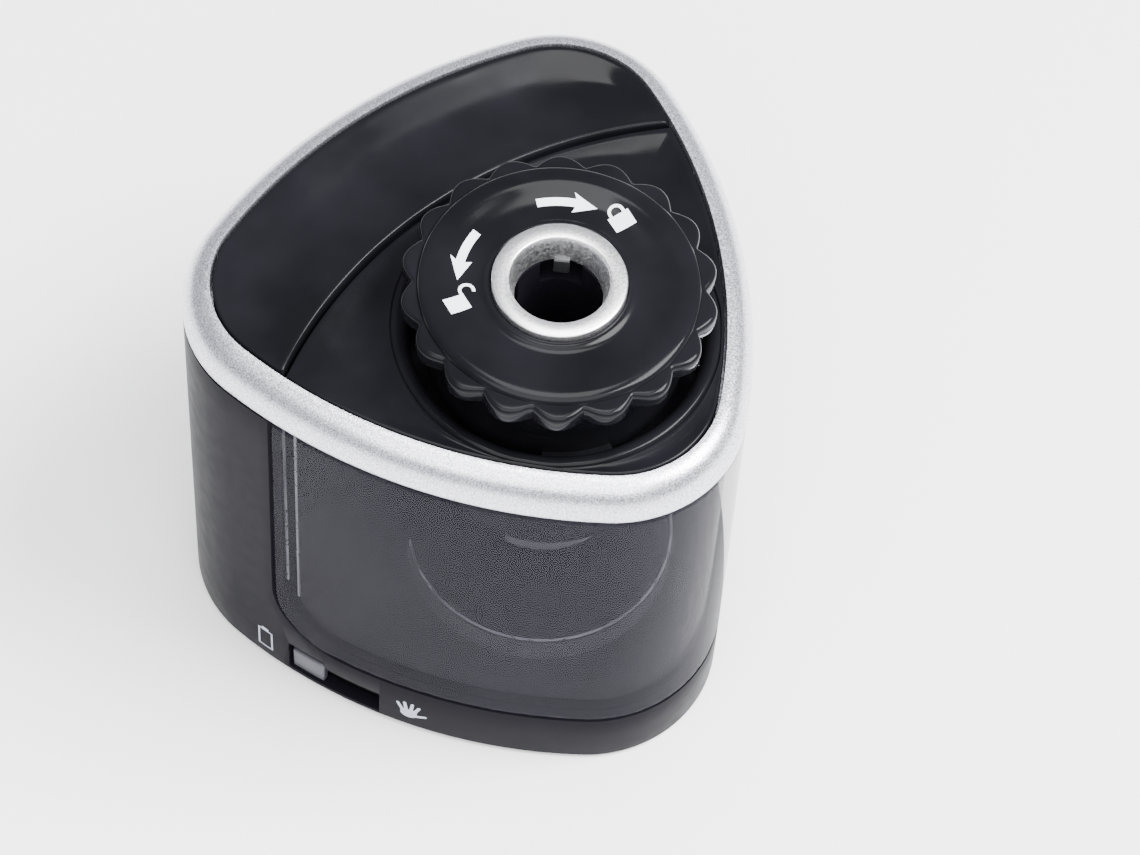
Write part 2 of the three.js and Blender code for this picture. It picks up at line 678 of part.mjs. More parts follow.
// Internal teeth: the gaps are a little larger than the pinion's teeth.
function makeRingGear() {
  const pitch = pitchRadius(ringGearTeeth);
  const points = [];
  for (let i = 0; i < ringGearTeeth; i += 1) {
    const middle = (i + 0.5) * 2 * Math.PI / ringGearTeeth;
    const foot = 0.34 / pitch;
    const crown = 0.12 / pitch;
    points.push([pitch + 0.75, middle - foot], [pitch - 0.22, middle - crown]);
    points.push([pitch - 0.22, middle + crown], [pitch + 0.75, middle + foot]);
  }
  const hole = points.map(([r, t]) => new THREE.Vector2(r * Math.cos(t), r * Math.sin(t)));
  const ring = cylinder(ringGearRadius, shelfTop + 0.2, ringGearTop, 0, 0, 48);
  return ring.subtract(solid(loft([{ points: hole, z: shelfBottom }, { points: hole, z: ringGearTop + 1 }])));
}

function makeCutterHousing() {
  const sleeve = tube(housingInner, housingRadius, housingBottom, wellFloor - 0.1, 48);
  const shelf = tube(shelfInner, housingInner + 0.4, shelfBottom, shelfTop, 48);
  const direction = Math.atan2(idlerPlace[1] - knobY, idlerPlace[0]);
  const room = cylinder(pitchRadius(idlerTeeth) + 0.9, gearBottom - 0.6, gearTopHigh + 2,
    idlerPlace[0], idlerPlace[1] - knobY, 24);
  const mouth = box(8, 18, -5.4, 5.4, gearBottom - 0.6, gearTopLow + 0.6)
    .rotate([0, 0, THREE.MathUtils.radToDeg(direction)]);
  return sleeve.add(shelf).subtract(room).subtract(mouth);
}

add('cutter_carrier', makeCarrier(), darkGrey, 0, knobY);
add('helical_cutter', tilt(makeHelicalCutter()), steel, 0, knobY);
add('cutter_pinion', tilt(makeCutterPinion()), whitePlastic, 0, knobY);
add('cutter_axle', tilt(cylinder(1, -2.8, pinionMiddle + 3.4, 0, 0, 12)), steel, 0, knobY);
add('ring_gear', makeRingGear(), whitePlastic, 0, knobY);
add('cutter_housing', makeCutterHousing(), satinBlack, 0, knobY);

// ---- gear train and motor -----------------------------------------------------------------------
function makeGearPlate() {
  const area = outlineBlock(-wall - 0.1, plateBottom, plateTop)
    .intersect(box(-26, 26, drawerBack + 0.8, 40, plateBottom - 1, plateTop + 1));
  return area
    .subtract(cylinder(housingRadius + gap, 50, 60, 0, knobY, 48))
    .subtract(cylinder(axleRadius + 0.05, 50, 60, ...idlerPlace, 12))
    .subtract(cylinder(axleRadius + 0.05, 50, 60, ...compoundPlace, 12))
    .subtract(cylinder(motorBossRadius + 0.2, 50, 60, ...motorPlace, 20));
}

// A round can with two flat sides, and a bearing boss at each end.
function makeMotor() {
  const depth = motorHalfDepth;
  const flats = box(-motorRadius, motorRadius, -depth, depth, motorBottom - 1, motorTop + 1);
  const can = cylinder(motorRadius, motorBottom, motorTop, 0, 0, 32).intersect(flats);
  const boss = cylinder(motorBossRadius, motorTop - 0.8, motorTop + 1.2, 0, 0, 20);
  const tail = cylinder(motorBossRadius, motorBottom - 1.6, motorBottom + 1, 0, 0, 20);
  return can.add(boss).add(tail).subtract(cylinder(axleRadius + 0.1, 45, 60, 0, 0, 12));
}

function onAxle(body, hole) {
  return body.subtract(cylinder(hole, 40, 80, 0, 0, 12));
}

const compoundBody = gear(compoundSmallTeeth, compoundPhase, gearBottom, gearTopLow + 0.6)
  .add(gear(compoundBigTeeth, compoundPhase, gearTopLow + 0.6, gearTopHigh));

add('gear_plate', makeGearPlate(), greyPlastic);
add('motor', makeMotor(), steel, ...motorPlace);
const motorPinion = gear(motorTeeth, motorPhase, gearTopLow + 0.7, gearTopHigh);
const idlerGear = gear(idlerTeeth, idlerPhase, gearBottom, gearTopLow);

add('motor_shaft', cylinder(axleRadius, 46, gearTopHigh + 0.6, 0, 0, 12), nickel, ...motorPlace);
add('motor_pinion', onAxle(motorPinion, axleRadius + 0.02), nickel, ...motorPlace);
add('compound_gear', onAxle(compoundBody, axleRadius + 0.1), whitePlastic, ...compoundPlace);
add('compound_axle', cylinder(axleRadius, plateBottom, gearTopHigh + 0.6, 0, 0, 12), steel, ...compoundPlace);
add('idler_gear', onAxle(idlerGear, axleRadius + 0.1), whitePlastic, ...idlerPlace);
add('idler_axle', cylinder(axleRadius, plateBottom, gearTopLow + 0.6, 0, 0, 12), steel, ...idlerPlace);

// ---- batteries and contacts ---------------------------------------------------------------------
function makeBattery() {
  const top = batteryBottom + batteryLength;
  return lathe([
    [0, batteryBottom], [batteryRadius - 0.6, batteryBottom], [batteryRadius, batteryBottom + 0.5],
    [batteryRadius, top - 2], [batteryRadius - 0.6, top - 1.4], [2.7, top - 1.4], [2.7, top], [0, top],
  ], 24);
}

function makeContactSpring() {
  const turns = 3;
  const points = [];
  const perTurn = 9;
  for (let i = 0; i <= turns * perTurn; i += 1) {
    const t = i / perTurn * 2 * Math.PI;
    const r = 4.2 - 0.3 * i / perTurn;
    const z = coverTop + 0.5 + (batteryBottom - coverTop - 0.9) * i / (turns * perTurn);
    points.push(new THREE.Vector3(r * Math.cos(t), r * Math.sin(t), z));
  }
  const section = new THREE.Shape();
  section.absarc(0, 0, 0.3, 0, 2 * Math.PI, false);
  const curve = new THREE.CatmullRomCurve3(points);
  const options = { steps: turns * perTurn, extrudePath: curve, bevelEnabled: false, curveSegments: 3 };
  return solid(new THREE.ExtrudeGeometry(section, options));
}

batteryPlaces.forEach(([x, y], i) => {
  add(`battery_${i + 1}`, makeBattery(), batteryGreen, x, y);
  add(`contact_spring_${i + 1}`, makeContactSpring(), nickel, x, y);
});

function contactStrap(first, second) {
  const bottom = batteryBottom + batteryLength + 0.05;
  const angle = THREE.MathUtils.radToDeg(Math.atan2(second[1] - first[1], second[0] - first[0]));
  const length = Math.hypot(second[0] - first[0], second[1] - first[1]);
  const strap = box(-strapEnd, length + strapEnd, -strapHalf, strapHalf, bottom, bottom + strapThickness);
  return strap.rotate([0, 0, angle]).translate([first[0], first[1], 0]);
}

add('contact_strap_left', contactStrap(batteryPlaces[0], batteryPlaces[1]), nickel);
add('contact_strap_right', contactStrap(batteryPlaces[2], batteryPlaces[3]), nickel);

// ---- mode switch --------------------------------------------------------------------------------
function makeSlider() {
  const s0 = sliderRest - sliderLength / 2;
  const s1 = sliderRest + sliderLength / 2;
  const face = wallOffset(sliderHeight);
  const button = wallBlock(s0, s1, face - 1.5, face + 0.3, slotBottom + 0.2, slotTop - 0.4);
  const stem = wallBlock(s0 + 1.6, s1 - 1.6, face - 6.2, face - 1, stemBottom, stemTop, 2);
  return button.add(stem);
}

// The switch fills the space behind its slot, with an open groove for the slider's stem.
function makeSwitchBody() {
  const face = wallOffset(sliderHeight);
  const half = slotHalf + 1.3;
  const front = face - wall - 0.35;
  const body = wallBlock(slotMiddle - half, slotMiddle + half, face - 8.2, front, coverTop + gap, 9);
  const groove = wallBlock(slotMiddle - slotHalf + 0.1, slotMiddle + slotHalf - 0.1, face - 7.2, face,
    stemBottom - 0.4, stemTop + 0.4);
  return body.subtract(groove);
}

add('mode_slider', makeSlider(), greyPlastic);
add('mode_switch', makeSwitchBody(), satinBlack);

export default sharpener;
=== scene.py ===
"""Battery pencil sharpener: the detailed looks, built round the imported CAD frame.

Lengths are in millimetres, and place() turns them into metres. The floor and the lights are placed in
metres, and noise scales are per metre.
"""
import math

import bmesh
import bpy
from mathutils import Matrix, Vector


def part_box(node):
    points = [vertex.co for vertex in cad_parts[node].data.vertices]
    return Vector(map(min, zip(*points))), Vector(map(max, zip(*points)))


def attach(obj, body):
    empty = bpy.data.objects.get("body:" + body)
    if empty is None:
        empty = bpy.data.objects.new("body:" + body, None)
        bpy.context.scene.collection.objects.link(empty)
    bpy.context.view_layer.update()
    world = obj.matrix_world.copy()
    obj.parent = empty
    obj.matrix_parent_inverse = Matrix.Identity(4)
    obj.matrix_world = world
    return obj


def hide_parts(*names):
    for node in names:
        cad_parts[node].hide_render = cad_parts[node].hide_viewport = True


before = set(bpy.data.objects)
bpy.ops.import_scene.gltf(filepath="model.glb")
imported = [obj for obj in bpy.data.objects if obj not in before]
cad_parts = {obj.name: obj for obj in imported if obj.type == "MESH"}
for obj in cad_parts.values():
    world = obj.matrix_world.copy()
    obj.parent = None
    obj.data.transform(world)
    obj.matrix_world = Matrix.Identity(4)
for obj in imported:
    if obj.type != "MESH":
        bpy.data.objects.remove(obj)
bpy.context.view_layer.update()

# ---- driving dimensions --------------------------------------------------------------------------
CORNER_R = 18.84
SIDE_R = 80.82
HALF_WIDTH = 40.0
FLARE = 1.5
SHELL_TOP = 69.0
SHELL_BOTTOM = 0.8
WALL = 2.0
BEZEL_BOTTOM = 69.3
BEZEL_TOP = 75.17
BEZEL_REACH = 4.02
PLINTH_TOP = 12.0
PANEL_BOTTOM = 71.1
PANEL_GAP = 0.3                  # between the bezel and the two top panels
REAR_PANEL_TOP = 75.55
FRONT_PANEL_TOP = 74.85
PARTING_R = 67.6
PARTING_Y = -55.3
PARTING_HALF = 0.2               # half of the gap along the parting line
WELL_RIM_R = 22.4
WELL_WALL_R = 20.0
KNOB_Y = -12.81                  # the knob's axis, from the middle of the outline
KNOB_BOTTOM = 69.0
SCALLOPS = 18
RING_TOP = 85.66
FEELER_ANGLE = 46                # where the start feeler stands, in degrees round the knob's axis

RHO = 2 * (HALF_WIDTH - CORNER_R) / math.sqrt(3)
SIDE_C = math.sqrt((SIDE_R - CORNER_R) ** 2 - (RHO * math.sqrt(3) / 2) ** 2) - RHO / 2
SIDE_TURN = 2 * math.atan2(RHO * math.sqrt(3) / 2, SIDE_C + RHO / 2)
CORNER_TURN = 2 * math.pi / 3 - SIDE_TURN
CORNER_ARC = CORNER_R * CORNER_TURN / 2
OUTLINE_LENGTH = 3 * (2 * CORNER_ARC + SIDE_R * SIDE_TURN)

_bezel_low, bezel_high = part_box("bezel")
PLAN_Y = bezel_high[1] * 1000 - (SIDE_R - SIDE_C)


def place(point):
    """A point of the plan frame, in millimetres, as metres in the shared frame."""
    return Vector((point[0], point[1] + PLAN_Y, point[2])) * 0.001


def about_knob(point):
    """A point given from the knob's axis, as a point of the plan frame."""
    return (point[0], point[1] + KNOB_Y, point[2])


# ---- mesh helpers --------------------------------------------------------------------------------
def new_object(name, points, faces, material, sharp=35):
    mesh = bpy.data.meshes.new(name)
    mesh.from_pydata([place(p) for p in points], [], faces)
    mesh.validate()
    obj = bpy.data.objects.new(name, mesh)
    bpy.context.scene.collection.objects.link(obj)
    tidy(obj, material, sharp)
    return obj


def tidy(obj, material, sharp=35):
    """Merges doubled points, turns every face outwards and shades it."""
    work = bmesh.new()
    work.from_mesh(obj.data)
    bmesh.ops.remove_doubles(work, verts=work.verts, dist=2e-6)
    bmesh.ops.recalc_face_normals(work, faces=work.faces)
    if work.calc_volume(signed=True) < 0:
        bmesh.ops.reverse_faces(work, faces=work.faces)
    work.to_mesh(obj.data)
    work.free()
    obj.data.shade_smooth()
    obj.data.set_sharp_from_angle(angle=math.radians(sharp))
    obj.data.materials.clear()
    obj.data.materials.append(material)


def ring_faces(rows, count, closed_rows=True):
    """Quads between rows of points that each close on themselves.

    closed_rows joins the last row to the first.
    """
    faces = []
    for k in range(rows if closed_rows else rows - 1):
        a = k * count
        b = ((k + 1) % rows) * count
        for i in range(count):
            j = (i + 1) % count
            faces.append((a + i, a + j, b + j, b + i))
    return faces


def end_caps(rows, count):
    """Faces that close the first and the last row."""
    last = (rows - 1) * count
    return [tuple(reversed(range(count))), tuple(range(last, last + count))]


def apply_modifiers(obj):
    """Turns what the modifiers give into the object's own mesh."""
    graph = bpy.context.evaluated_depsgraph_get()
    graph.update()
    mesh = bpy.data.meshes.new_from_object(obj.evaluated_get(graph))
    old = obj.data
    obj.modifiers.clear()
    obj.data = mesh
    mesh.name = obj.name
    bpy.data.meshes.remove(old)


def cut(obj, cutter, operation="DIFFERENCE"):
    """Cuts, joins or intersects with a second object, which is then removed."""
    modifier = obj.modifiers.new("cut", "BOOLEAN")
    modifier.operation = operation
    modifier.solver = "EXACT"
    modifier.object = cutter
    apply_modifiers(obj)
    bpy.data.objects.remove(cutter)


def bevel(obj, width, segments, angle=40):
    modifier = obj.modifiers.new("bevel", "BEVEL")
    modifier.width = width * 0.001
    modifier.segments = segments
    modifier.limit_method = "ANGLE"
    modifier.angle_limit = math.radians(angle)
    modifier.use_clamp_overlap = True
    modifier.miter_outer = "MITER_ARC"
    apply_modifiers(obj)


# ---- plan outline --------------------------------------------------------------------------------
def outline_at(s, offset):
    """Point and outward direction on the outline; s runs round from the front corner."""
    part = OUTLINE_LENGTH / 3
    s = s % OUTLINE_LENGTH
    k = int((s + CORNER_ARC) // part)
    local = s - k * part
    corner_angle = -math.pi / 2 + k * 2 * math.pi / 3
    if local <= CORNER_ARC:
        t = corner_angle + local / CORNER_R
        centre = (RHO * math.cos(corner_angle), RHO * math.sin(corner_angle))
        r = CORNER_R
    else:
        middle = corner_angle + math.pi / 3
        t = corner_angle + CORNER_TURN / 2 + (local - CORNER_ARC) / SIDE_R
        centre = (-SIDE_C * math.cos(middle), -SIDE_C * math.sin(middle))
        r = SIDE_R
    r += offset
    return centre[0] + r * math.cos(t), centre[1] + r * math.sin(t), t


def outline(offset, per_corner=24, per_side=20):
    """The whole outline, moved out by an offset."""
    points = []
    part = 2 * CORNER_ARC + SIDE_R * SIDE_TURN
    for k in range(3):
        start = k * part - CORNER_ARC
        for i in range(per_corner):
            points.append(outline_at(start + 2 * CORNER_ARC * i / per_corner, offset)[:2])
        for i in range(per_side):
            points.append(outline_at(start + 2 * CORNER_ARC + SIDE_R * SIDE_TURN * i / per_side, offset)[:2])
    return points


def wall_offset(z):
    """How far the leaning wall stands out from the outline at a height."""
    return FLARE * (SHELL_TOP - z) / SHELL_TOP


def sweep(name, profile, material, sharp=35):
    """A closed (offset, z) profile carried round the outline."""
    points = []
    for offset, z in profile:
        points += [(x, y, z) for x, y in outline(offset)]
    count = len(outline(0))
    return new_object(name, points, ring_faces(len(profile), count), material, sharp)


def plate(name, levels, material, sharp=35):
    """A solid plate through (offset, z) levels, capped at both ends."""
    points = []
    for offset, z in levels:
        points += [(x, y, z) for x, y in outline(offset)]
    count = len(outline(0))
    faces = ring_faces(len(levels), count, closed_rows=False) + end_caps(len(levels), count)
    return new_object(name, points, faces, material, sharp)


def arc(centre, radius, start, end, steps):
    """Points of an arc in a plane, angles in degrees."""
    out = []
    for i in range(steps + 1):
        t = math.radians(start + (end - start) * i / steps)
        out.append((centre[0] + radius * math.cos(t), centre[1] + radius * math.sin(t)))
    return out


def turned(name, profile, material, segments=128, sharp=35):
    """A closed (radius, z) profile turned round the knob's axis."""
    points = []
    for r, z in profile:
        for i in range(segments):
            t = 2 * math.pi * i / segments
            points.append(about_knob((r * math.cos(t), r * math.sin(t), z)))
    return new_object(name, points, ring_faces(len(profile), segments), material, sharp)


def block(name, x0, x1, y0, y1, z0, z1, material):
    corners = [(x, y, z) for z in (z0, z1) for x, y in ((x0, y0), (x1, y0), (x1, y1), (x0, y1))]
    faces = [(3, 2, 1, 0), (4, 5, 6, 7), (0, 1, 5, 4), (1, 2, 6, 5), (2, 3, 7, 6), (3, 0, 4, 7)]
    return new_object(name, corners, faces, material)


def extruded(name, outline_points, z0, z1, material):
    """A flat outline carried from z0 to z1."""
    count = len(outline_points)
    points = [(x, y, z0) for x, y in outline_points] + [(x, y, z1) for x, y in outline_points]
    faces = ring_faces(2, count, closed_rows=False) + end_caps(2, count)
    return new_object(name, points, faces, material)


def front_view(name, shape, y0, y1, material):
    """A shape drawn in x and z, carried from y0 to y1."""
    count = len(shape)
    points = [(x, y0, z) for x, z in shape] + [(x, y1, z) for x, z in shape]
    faces = ring_faces(2, count, closed_rows=False) + end_caps(2, count)
    return new_object(name, points, faces, material)


def rectangle(x0, x1, y0, y1):
    return [(x0, y0), (x1, y0), (x1, y1), (x0, y1)]


# ---- materials -----------------------------------------------------------------------------------
NOISE_LOW = 0.35                 # the part of a noise's range that carries most of its values
NOISE_HIGH = 0.65


def material_base(name, color, roughness, metallic=0.0):
    material = bpy.data.materials.new(name)
    material.use_nodes = True
    shader = material.node_tree.nodes["Principled BSDF"]
    shader.inputs["Base Color"].default_value = (*color, 1)
    shader.inputs["Roughness"].default_value = roughness
    shader.inputs["Metallic"].default_value = metallic
    return material, material.node_tree, shader


def noise(tree, scale, detail=3.0, stretch=None):
    coordinates = tree.nodes.new("ShaderNodeTexCoord")
    texture = tree.nodes.new("ShaderNodeTexNoise")
    texture.inputs["Scale"].default_value = scale
    texture.inputs["Detail"].default_value = detail
    source = coordinates.outputs["Object"]
    if stretch:
        mapping = tree.nodes.new("ShaderNodeMapping")
        mapping.inputs["Scale"].default_value = stretch
        tree.links.new(source, mapping.inputs["Vector"])
        source = mapping.outputs["Vector"]
    tree.links.new(source, texture.inputs["Vector"])
    return texture.outputs["Fac"]


def vary(tree, factor, low, high, socket):
    """Carries a noise value into a number socket, between two values."""
    ranged = tree.nodes.new("ShaderNodeMapRange")
    ranged.inputs["From Min"].default_value = NOISE_LOW
    ranged.inputs["From Max"].default_value = NOISE_HIGH
    ranged.inputs["To Min"].default_value = low
    ranged.inputs["To Max"].default_value = high
    tree.links.new(factor, ranged.inputs["Value"])
    tree.links.new(ranged.outputs["Result"], socket)


def vary_color(tree, factor, first, second, socket):
    """Carries a noise value into a colour socket, between two colours."""
    ramp = tree.nodes.new("ShaderNodeValToRGB")
    ramp.color_ramp.elements[0].position = NOISE_LOW
    ramp.color_ramp.elements[1].position = NOISE_HIGH
    ramp.color_ramp.elements[0].color = (*first, 1)
    ramp.color_ramp.elements[1].color = (*second, 1)
    tree.links.new(factor, ramp.inputs["Fac"])
    tree.links.new(ramp.outputs["Color"], socket)


def bump(tree, shader, height, strength, distance):
    node = tree.nodes.new("ShaderNodeBump")
    node.inputs["Strength"].default_value = strength
    node.inputs["Distance"].default_value = distance
    tree.links.new(height, node.inputs["Height"])
    previous = shader.inputs["Normal"]
    if previous.is_linked:
        tree.links.new(previous.links[0].from_socket, node.inputs["Normal"])
    tree.links.new(node.outputs["Normal"], previous)


def gloss_black():
    """Polished black moulding: very slight waviness, faint rubbing marks."""
    material, tree, shader = material_base("gloss_black", (0.012, 0.012, 0.016), 0.12)
    shader.inputs["Specular IOR Level"].default_value = 0.08
    vary(tree, noise(tree, 90, 4), 0.07, 0.2, shader.inputs["Roughness"])
    vary_color(tree, noise(tree, 60), (0.004, 0.004, 0.005), (0.007, 0.007, 0.009),
               shader.inputs["Base Color"])
    bump(tree, shader, noise(tree, 45, 1), 0.12, 0.0004)
    bump(tree, shader, noise(tree, 900, 2, (1, 14, 1)), 0.02, 0.00005)
    return material


def satin_black(name, grain, specular=0.020):
    """Spark-eroded satin finish of the body."""
    material, tree, shader = material_base(name, (0.006, 0.005, 0.008), 0.35)
    shader.inputs["Specular IOR Level"].default_value = specular
    vary(tree, noise(tree, 400, 2), 0.33, 0.38, shader.inputs["Roughness"])
    vary_color(tree, noise(tree, 50), (0.0052, 0.0048, 0.0070), (0.0060, 0.0055, 0.0080),
               shader.inputs["Base Color"])
    bump(tree, shader, noise(tree, 2600, 2), grain, 0.00003)
    return material


def satin_silver():
    """Silver paint: fine metal flakes under a slightly rough clear coat."""
    material, tree, shader = material_base("satin_silver", (0.86, 0.86, 0.88), 0.3, 0.92)
    vary(tree, noise(tree, 4200, 1), 0.24, 0.42, shader.inputs["Roughness"])
    vary_color(tree, noise(tree, 5200, 1), (0.40, 0.40, 0.46), (0.86, 0.86, 0.92),
               shader.inputs["Base Color"])
    bump(tree, shader, noise(tree, 3600, 1), 0.5, 0.00005)
    shader.inputs["Coat Weight"].default_value = 0.3
    shader.inputs["Coat Roughness"].default_value = 0.2
    return material


def smoke_clear():
    """Clear smoke-tinted plastic of the drawer."""
    material, tree, shader = material_base("smoke_clear", (0.020, 0.019, 0.026), 0.03)
    shader.inputs["Alpha"].default_value = 0.36
    shader.inputs["Specular IOR Level"].default_value = 0.045
    vary(tree, noise(tree, 70, 1), 0.10, 0.14, shader.inputs["Roughness"])
    vary_color(tree, noise(tree, 30, 1), (0.018, 0.017, 0.023), (0.022, 0.021, 0.029),
               shader.inputs["Base Color"])
    bump(tree, shader, noise(tree, 40, 0), 0.01, 0.0001)
    return material


def ring_silver():
    """Brighter plated ring round the pencil hole."""
    material, tree, shader = material_base("ring_silver", (0.92, 0.92, 0.94), 0.35, 1.0)
    vary(tree, noise(tree, 3000, 1), 0.3, 0.42, shader.inputs["Roughness"])
    vary_color(tree, noise(tree, 2400, 1), (0.88, 0.88, 0.90), (0.95, 0.95, 0.97),
               shader.inputs["Base Color"])
    bump(tree, shader, noise(tree, 2600, 1), 0.08, 0.00002)
    return material


def painted_highlight_smoke(name, level, alpha):
    """Painted highlight in the smoke plastic: a lighter, half-clear colour that stands for light caught on
    edges and lit faces inside the drawer.
    """
    low = (0.8 * level, 0.8 * level, 0.95 * level)
    high = (1.2 * level, 1.2 * level, 1.4 * level)
    material, tree, shader = material_base(name, high, 0.3)
    shader.inputs["Alpha"].default_value = alpha
    vary(tree, noise(tree, 400, 2), 0.25, 0.4, shader.inputs["Roughness"])
    vary_color(tree, noise(tree, 160, 3), low, high, shader.inputs["Base Color"])
    bump(tree, shader, noise(tree, 900, 2), 0.05, 0.00003)
    return material


def brushed(name, color, roughness, stretch):
    """Metal with fine marks drawn out along one axis."""
    material, tree, shader = material_base(name, color, roughness, 1.0)
    vary(tree, noise(tree, 900, 3, stretch), roughness * 0.7, roughness * 1.5, shader.inputs["Roughness"])
    darker = tuple(c * 0.82 for c in color)
    vary_color(tree, noise(tree, 500, 2, stretch), darker, color, shader.inputs["Base Color"])
    bump(tree, shader, noise(tree, 1200, 2, stretch), 0.12, 0.00004)
    return material


def moulded(name, color, roughness, grain=0.06):
    """Plain moulded plastic with a fine skin."""
    material, tree, shader = material_base(name, color, roughness)
    darker = tuple(c * 0.9 for c in color)
    vary_color(tree, noise(tree, 80, 4), darker, color, shader.inputs["Base Color"])
    vary(tree, noise(tree, 260, 3), roughness * 0.85, roughness * 1.15, shader.inputs["Roughness"])
    bump(tree, shader, noise(tree, 1800, 2), grain, 0.00004)
    return material


GLOSS_BLACK = gloss_black()
SATIN_BLACK = satin_black("satin_black", 0.06)
PANEL_BLACK = satin_black("panel_black", 0.004, 0.0)
SILVER = satin_silver()
SMOKE = smoke_clear()
# Painted highlights: lighter, half-clear colours for strips inside the drawer, standing for light caught on
# its edges and on the step's lit side wall.
SMOKE_PAINTED_HIGHLIGHT = painted_highlight_smoke("painted_highlight_smoke", 0.30, 0.5)
SMOKE_PAINTED_BAND = painted_highlight_smoke("smoke_painted_band", 0.14, 0.4)
RING_SILVER = ring_silver()
STEEL = brushed("steel", (0.55, 0.55, 0.57), 0.28, (1, 1, 20))
NICKEL = brushed("nickel", (0.72, 0.70, 0.66), 0.22, (1, 1, 6))
WHITE_PLASTIC = moulded("white_plastic", (0.74, 0.73, 0.68), 0.42)
GREY_PLASTIC = moulded("grey_plastic", (0.036, 0.036, 0.048), 0.45)
DARK_GREY = moulded("dark_grey", (0.022, 0.022, 0.025), 0.4)
CARRIER = moulded("carrier_grey", (0.10, 0.10, 0.12), 0.4)
RUBBER = moulded("rubber", (0.03, 0.03, 0.03), 0.85, 0.3)
WHITE_INK = moulded("white_ink", (0.84, 0.88, 0.96), 0.5, 0.12)
WALL_INK = moulded("wall_ink", (0.42, 0.44, 0.54), 0.5, 0.12)
JACKET = moulded("battery_jacket", (0.03, 0.035, 0.045), 0.3, 0.02)


# ---- top: bezel and panels -----------------------------------------------------------------------
def make_bezel():
    profile = [(-0.25, BEZEL_BOTTOM), (0.0, BEZEL_BOTTOM + 0.25), (0.0, BEZEL_BOTTOM + 0.8)]
    rise = BEZEL_TOP - BEZEL_BOTTOM - 0.8
    for i in range(1, 17):
        t = math.radians(90 * i / 16)
        profile.append((-BEZEL_REACH * (1 - math.cos(t)) * 0.985, BEZEL_BOTTOM + 0.8 + rise * math.sin(t)))
    profile += [(-BEZEL_REACH, BEZEL_TOP - 0.14), (-BEZEL_REACH - 0.02, BEZEL_TOP - 0.4)]
    flange_reach, flange_top = 7.5, 71.0
    profile += [(-BEZEL_REACH, flange_top), (-flange_reach, flange_top), (-flange_reach, BEZEL_BOTTOM)]
    bezel = sweep("bezel_rim", profile, SILVER, sharp=50)
    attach(bezel, "housing")
    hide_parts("bezel")


def crossing(radius, offset):
    """Distance round the outline at which it crosses the parting arc."""
    low, high = 20.0, 123.0
    for _ in range(60):
        middle = (low + high) / 2
        x, y, _angle = outline_at(middle, offset)
        if math.hypot(x, y - PARTING_Y) < radius:
            low = middle
        else:
            high = middle
    return (low + high) / 2


def edge_drop(distance, radius):
    """How far a rounded edge has fallen at a distance in from the rim."""
    if distance >= radius:
        return 0.0
    return radius - math.sqrt(max(0.0, radius ** 2 - (radius - distance) ** 2))


def make_rear_deck():
    """The panel as rows from the parting line back to the bezel."""
    offset = -BEZEL_REACH - PANEL_GAP
    radius = PARTING_R + PARTING_HALF
    s_start = crossing(radius, offset)
    columns = 120
    shares = [0, 0.004, 0.012, 0.025, 0.045, 0.07] + [0.1 + 0.8 * i / 18 for i in range(19)]
    shares += [0.93, 0.955, 0.975, 0.988, 0.996, 1]
    x, y, _angle = outline_at(s_start, offset)
    angle_start = math.atan2(y - PARTING_Y, x)
    angle_end = math.pi - angle_start
    rows = []
    for share in shares:
        row = []
        for i in range(columns + 1):
            u = i / columns
            t = angle_start + (angle_end - angle_start) * u
            near = Vector((radius * math.cos(t), PARTING_Y + radius * math.sin(t)))
            far = Vector(outline_at(s_start + (OUTLINE_LENGTH - 2 * s_start) * u, offset)[:2])
            spot = near.lerp(far, share)
            span = (far - near).length
            z = REAR_PANEL_TOP - 0.25 * share
            z -= 1.7 * math.sin(math.pi * share) ** 1.3 * min(1, span / 18)
            z -= edge_drop(share * span, 0.9) * 0.9 + edge_drop((1 - share) * span, 0.5)
            row.append((spot.x, spot.y, z))
        rows.append(row)
    points = [p for row in rows for p in row]
    width = columns + 1
    faces = []
    for k in range(len(rows) - 1):
        for i in range(columns):
            a = k * width + i
            faces.append((a, a + 1, a + 1 + width, a + width))
    rim = list(range(width)) + [k * width + columns for k in range(1, len(rows))]
    rim += [(len(rows) - 1) * width + i for i in range(columns - 1, -1, -1)]
    rim += [k * width for k in range(len(rows) - 2, 0, -1)]
    base = len(points)
    points += [(points[i][0], points[i][1], PANEL_BOTTOM) for i in rim]
    count = len(rim)
    faces += [(rim[i], rim[(i + 1) % count], base + (i + 1) % count, base + i) for i in range(count)]
    faces.append(tuple(range(base, base + count)))
    deck = new_object("rear_panel", points, faces, GLOSS_BLACK, 40)
    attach(deck, "housing")
    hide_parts("rear_deck")


def deck_reach(t, radius, boundary):
    """Distance from the knob's axis to the edge of the front panel, in a direction."""
    direction = Vector((math.cos(t), math.sin(t)))
    origin = Vector((0, KNOB_Y))
    to_centre = origin - Vector((0, PARTING_Y))
    half = to_centre.dot(direction)
    best = -half + math.sqrt(half ** 2 - to_centre.length_squared + radius ** 2)
    for (x0, y0), (x1, y1) in zip(boundary, boundary[1:] + boundary[:1]):
        dx, dy = x1 - x0, y1 - y0
        bottom = direction.x * dy - direction.y * dx
        if abs(bottom) < 1e-9:
            continue
        along = ((x0 - origin.x) * dy - (y0 - origin.y) * dx) / bottom
        share = ((x0 - origin.x) * direction.y - (y0 - origin.y) * direction.x) / bottom
        if along > 0 and -1e-6 <= share <= 1 + 1e-6:
            best = min(best, along)
    return best


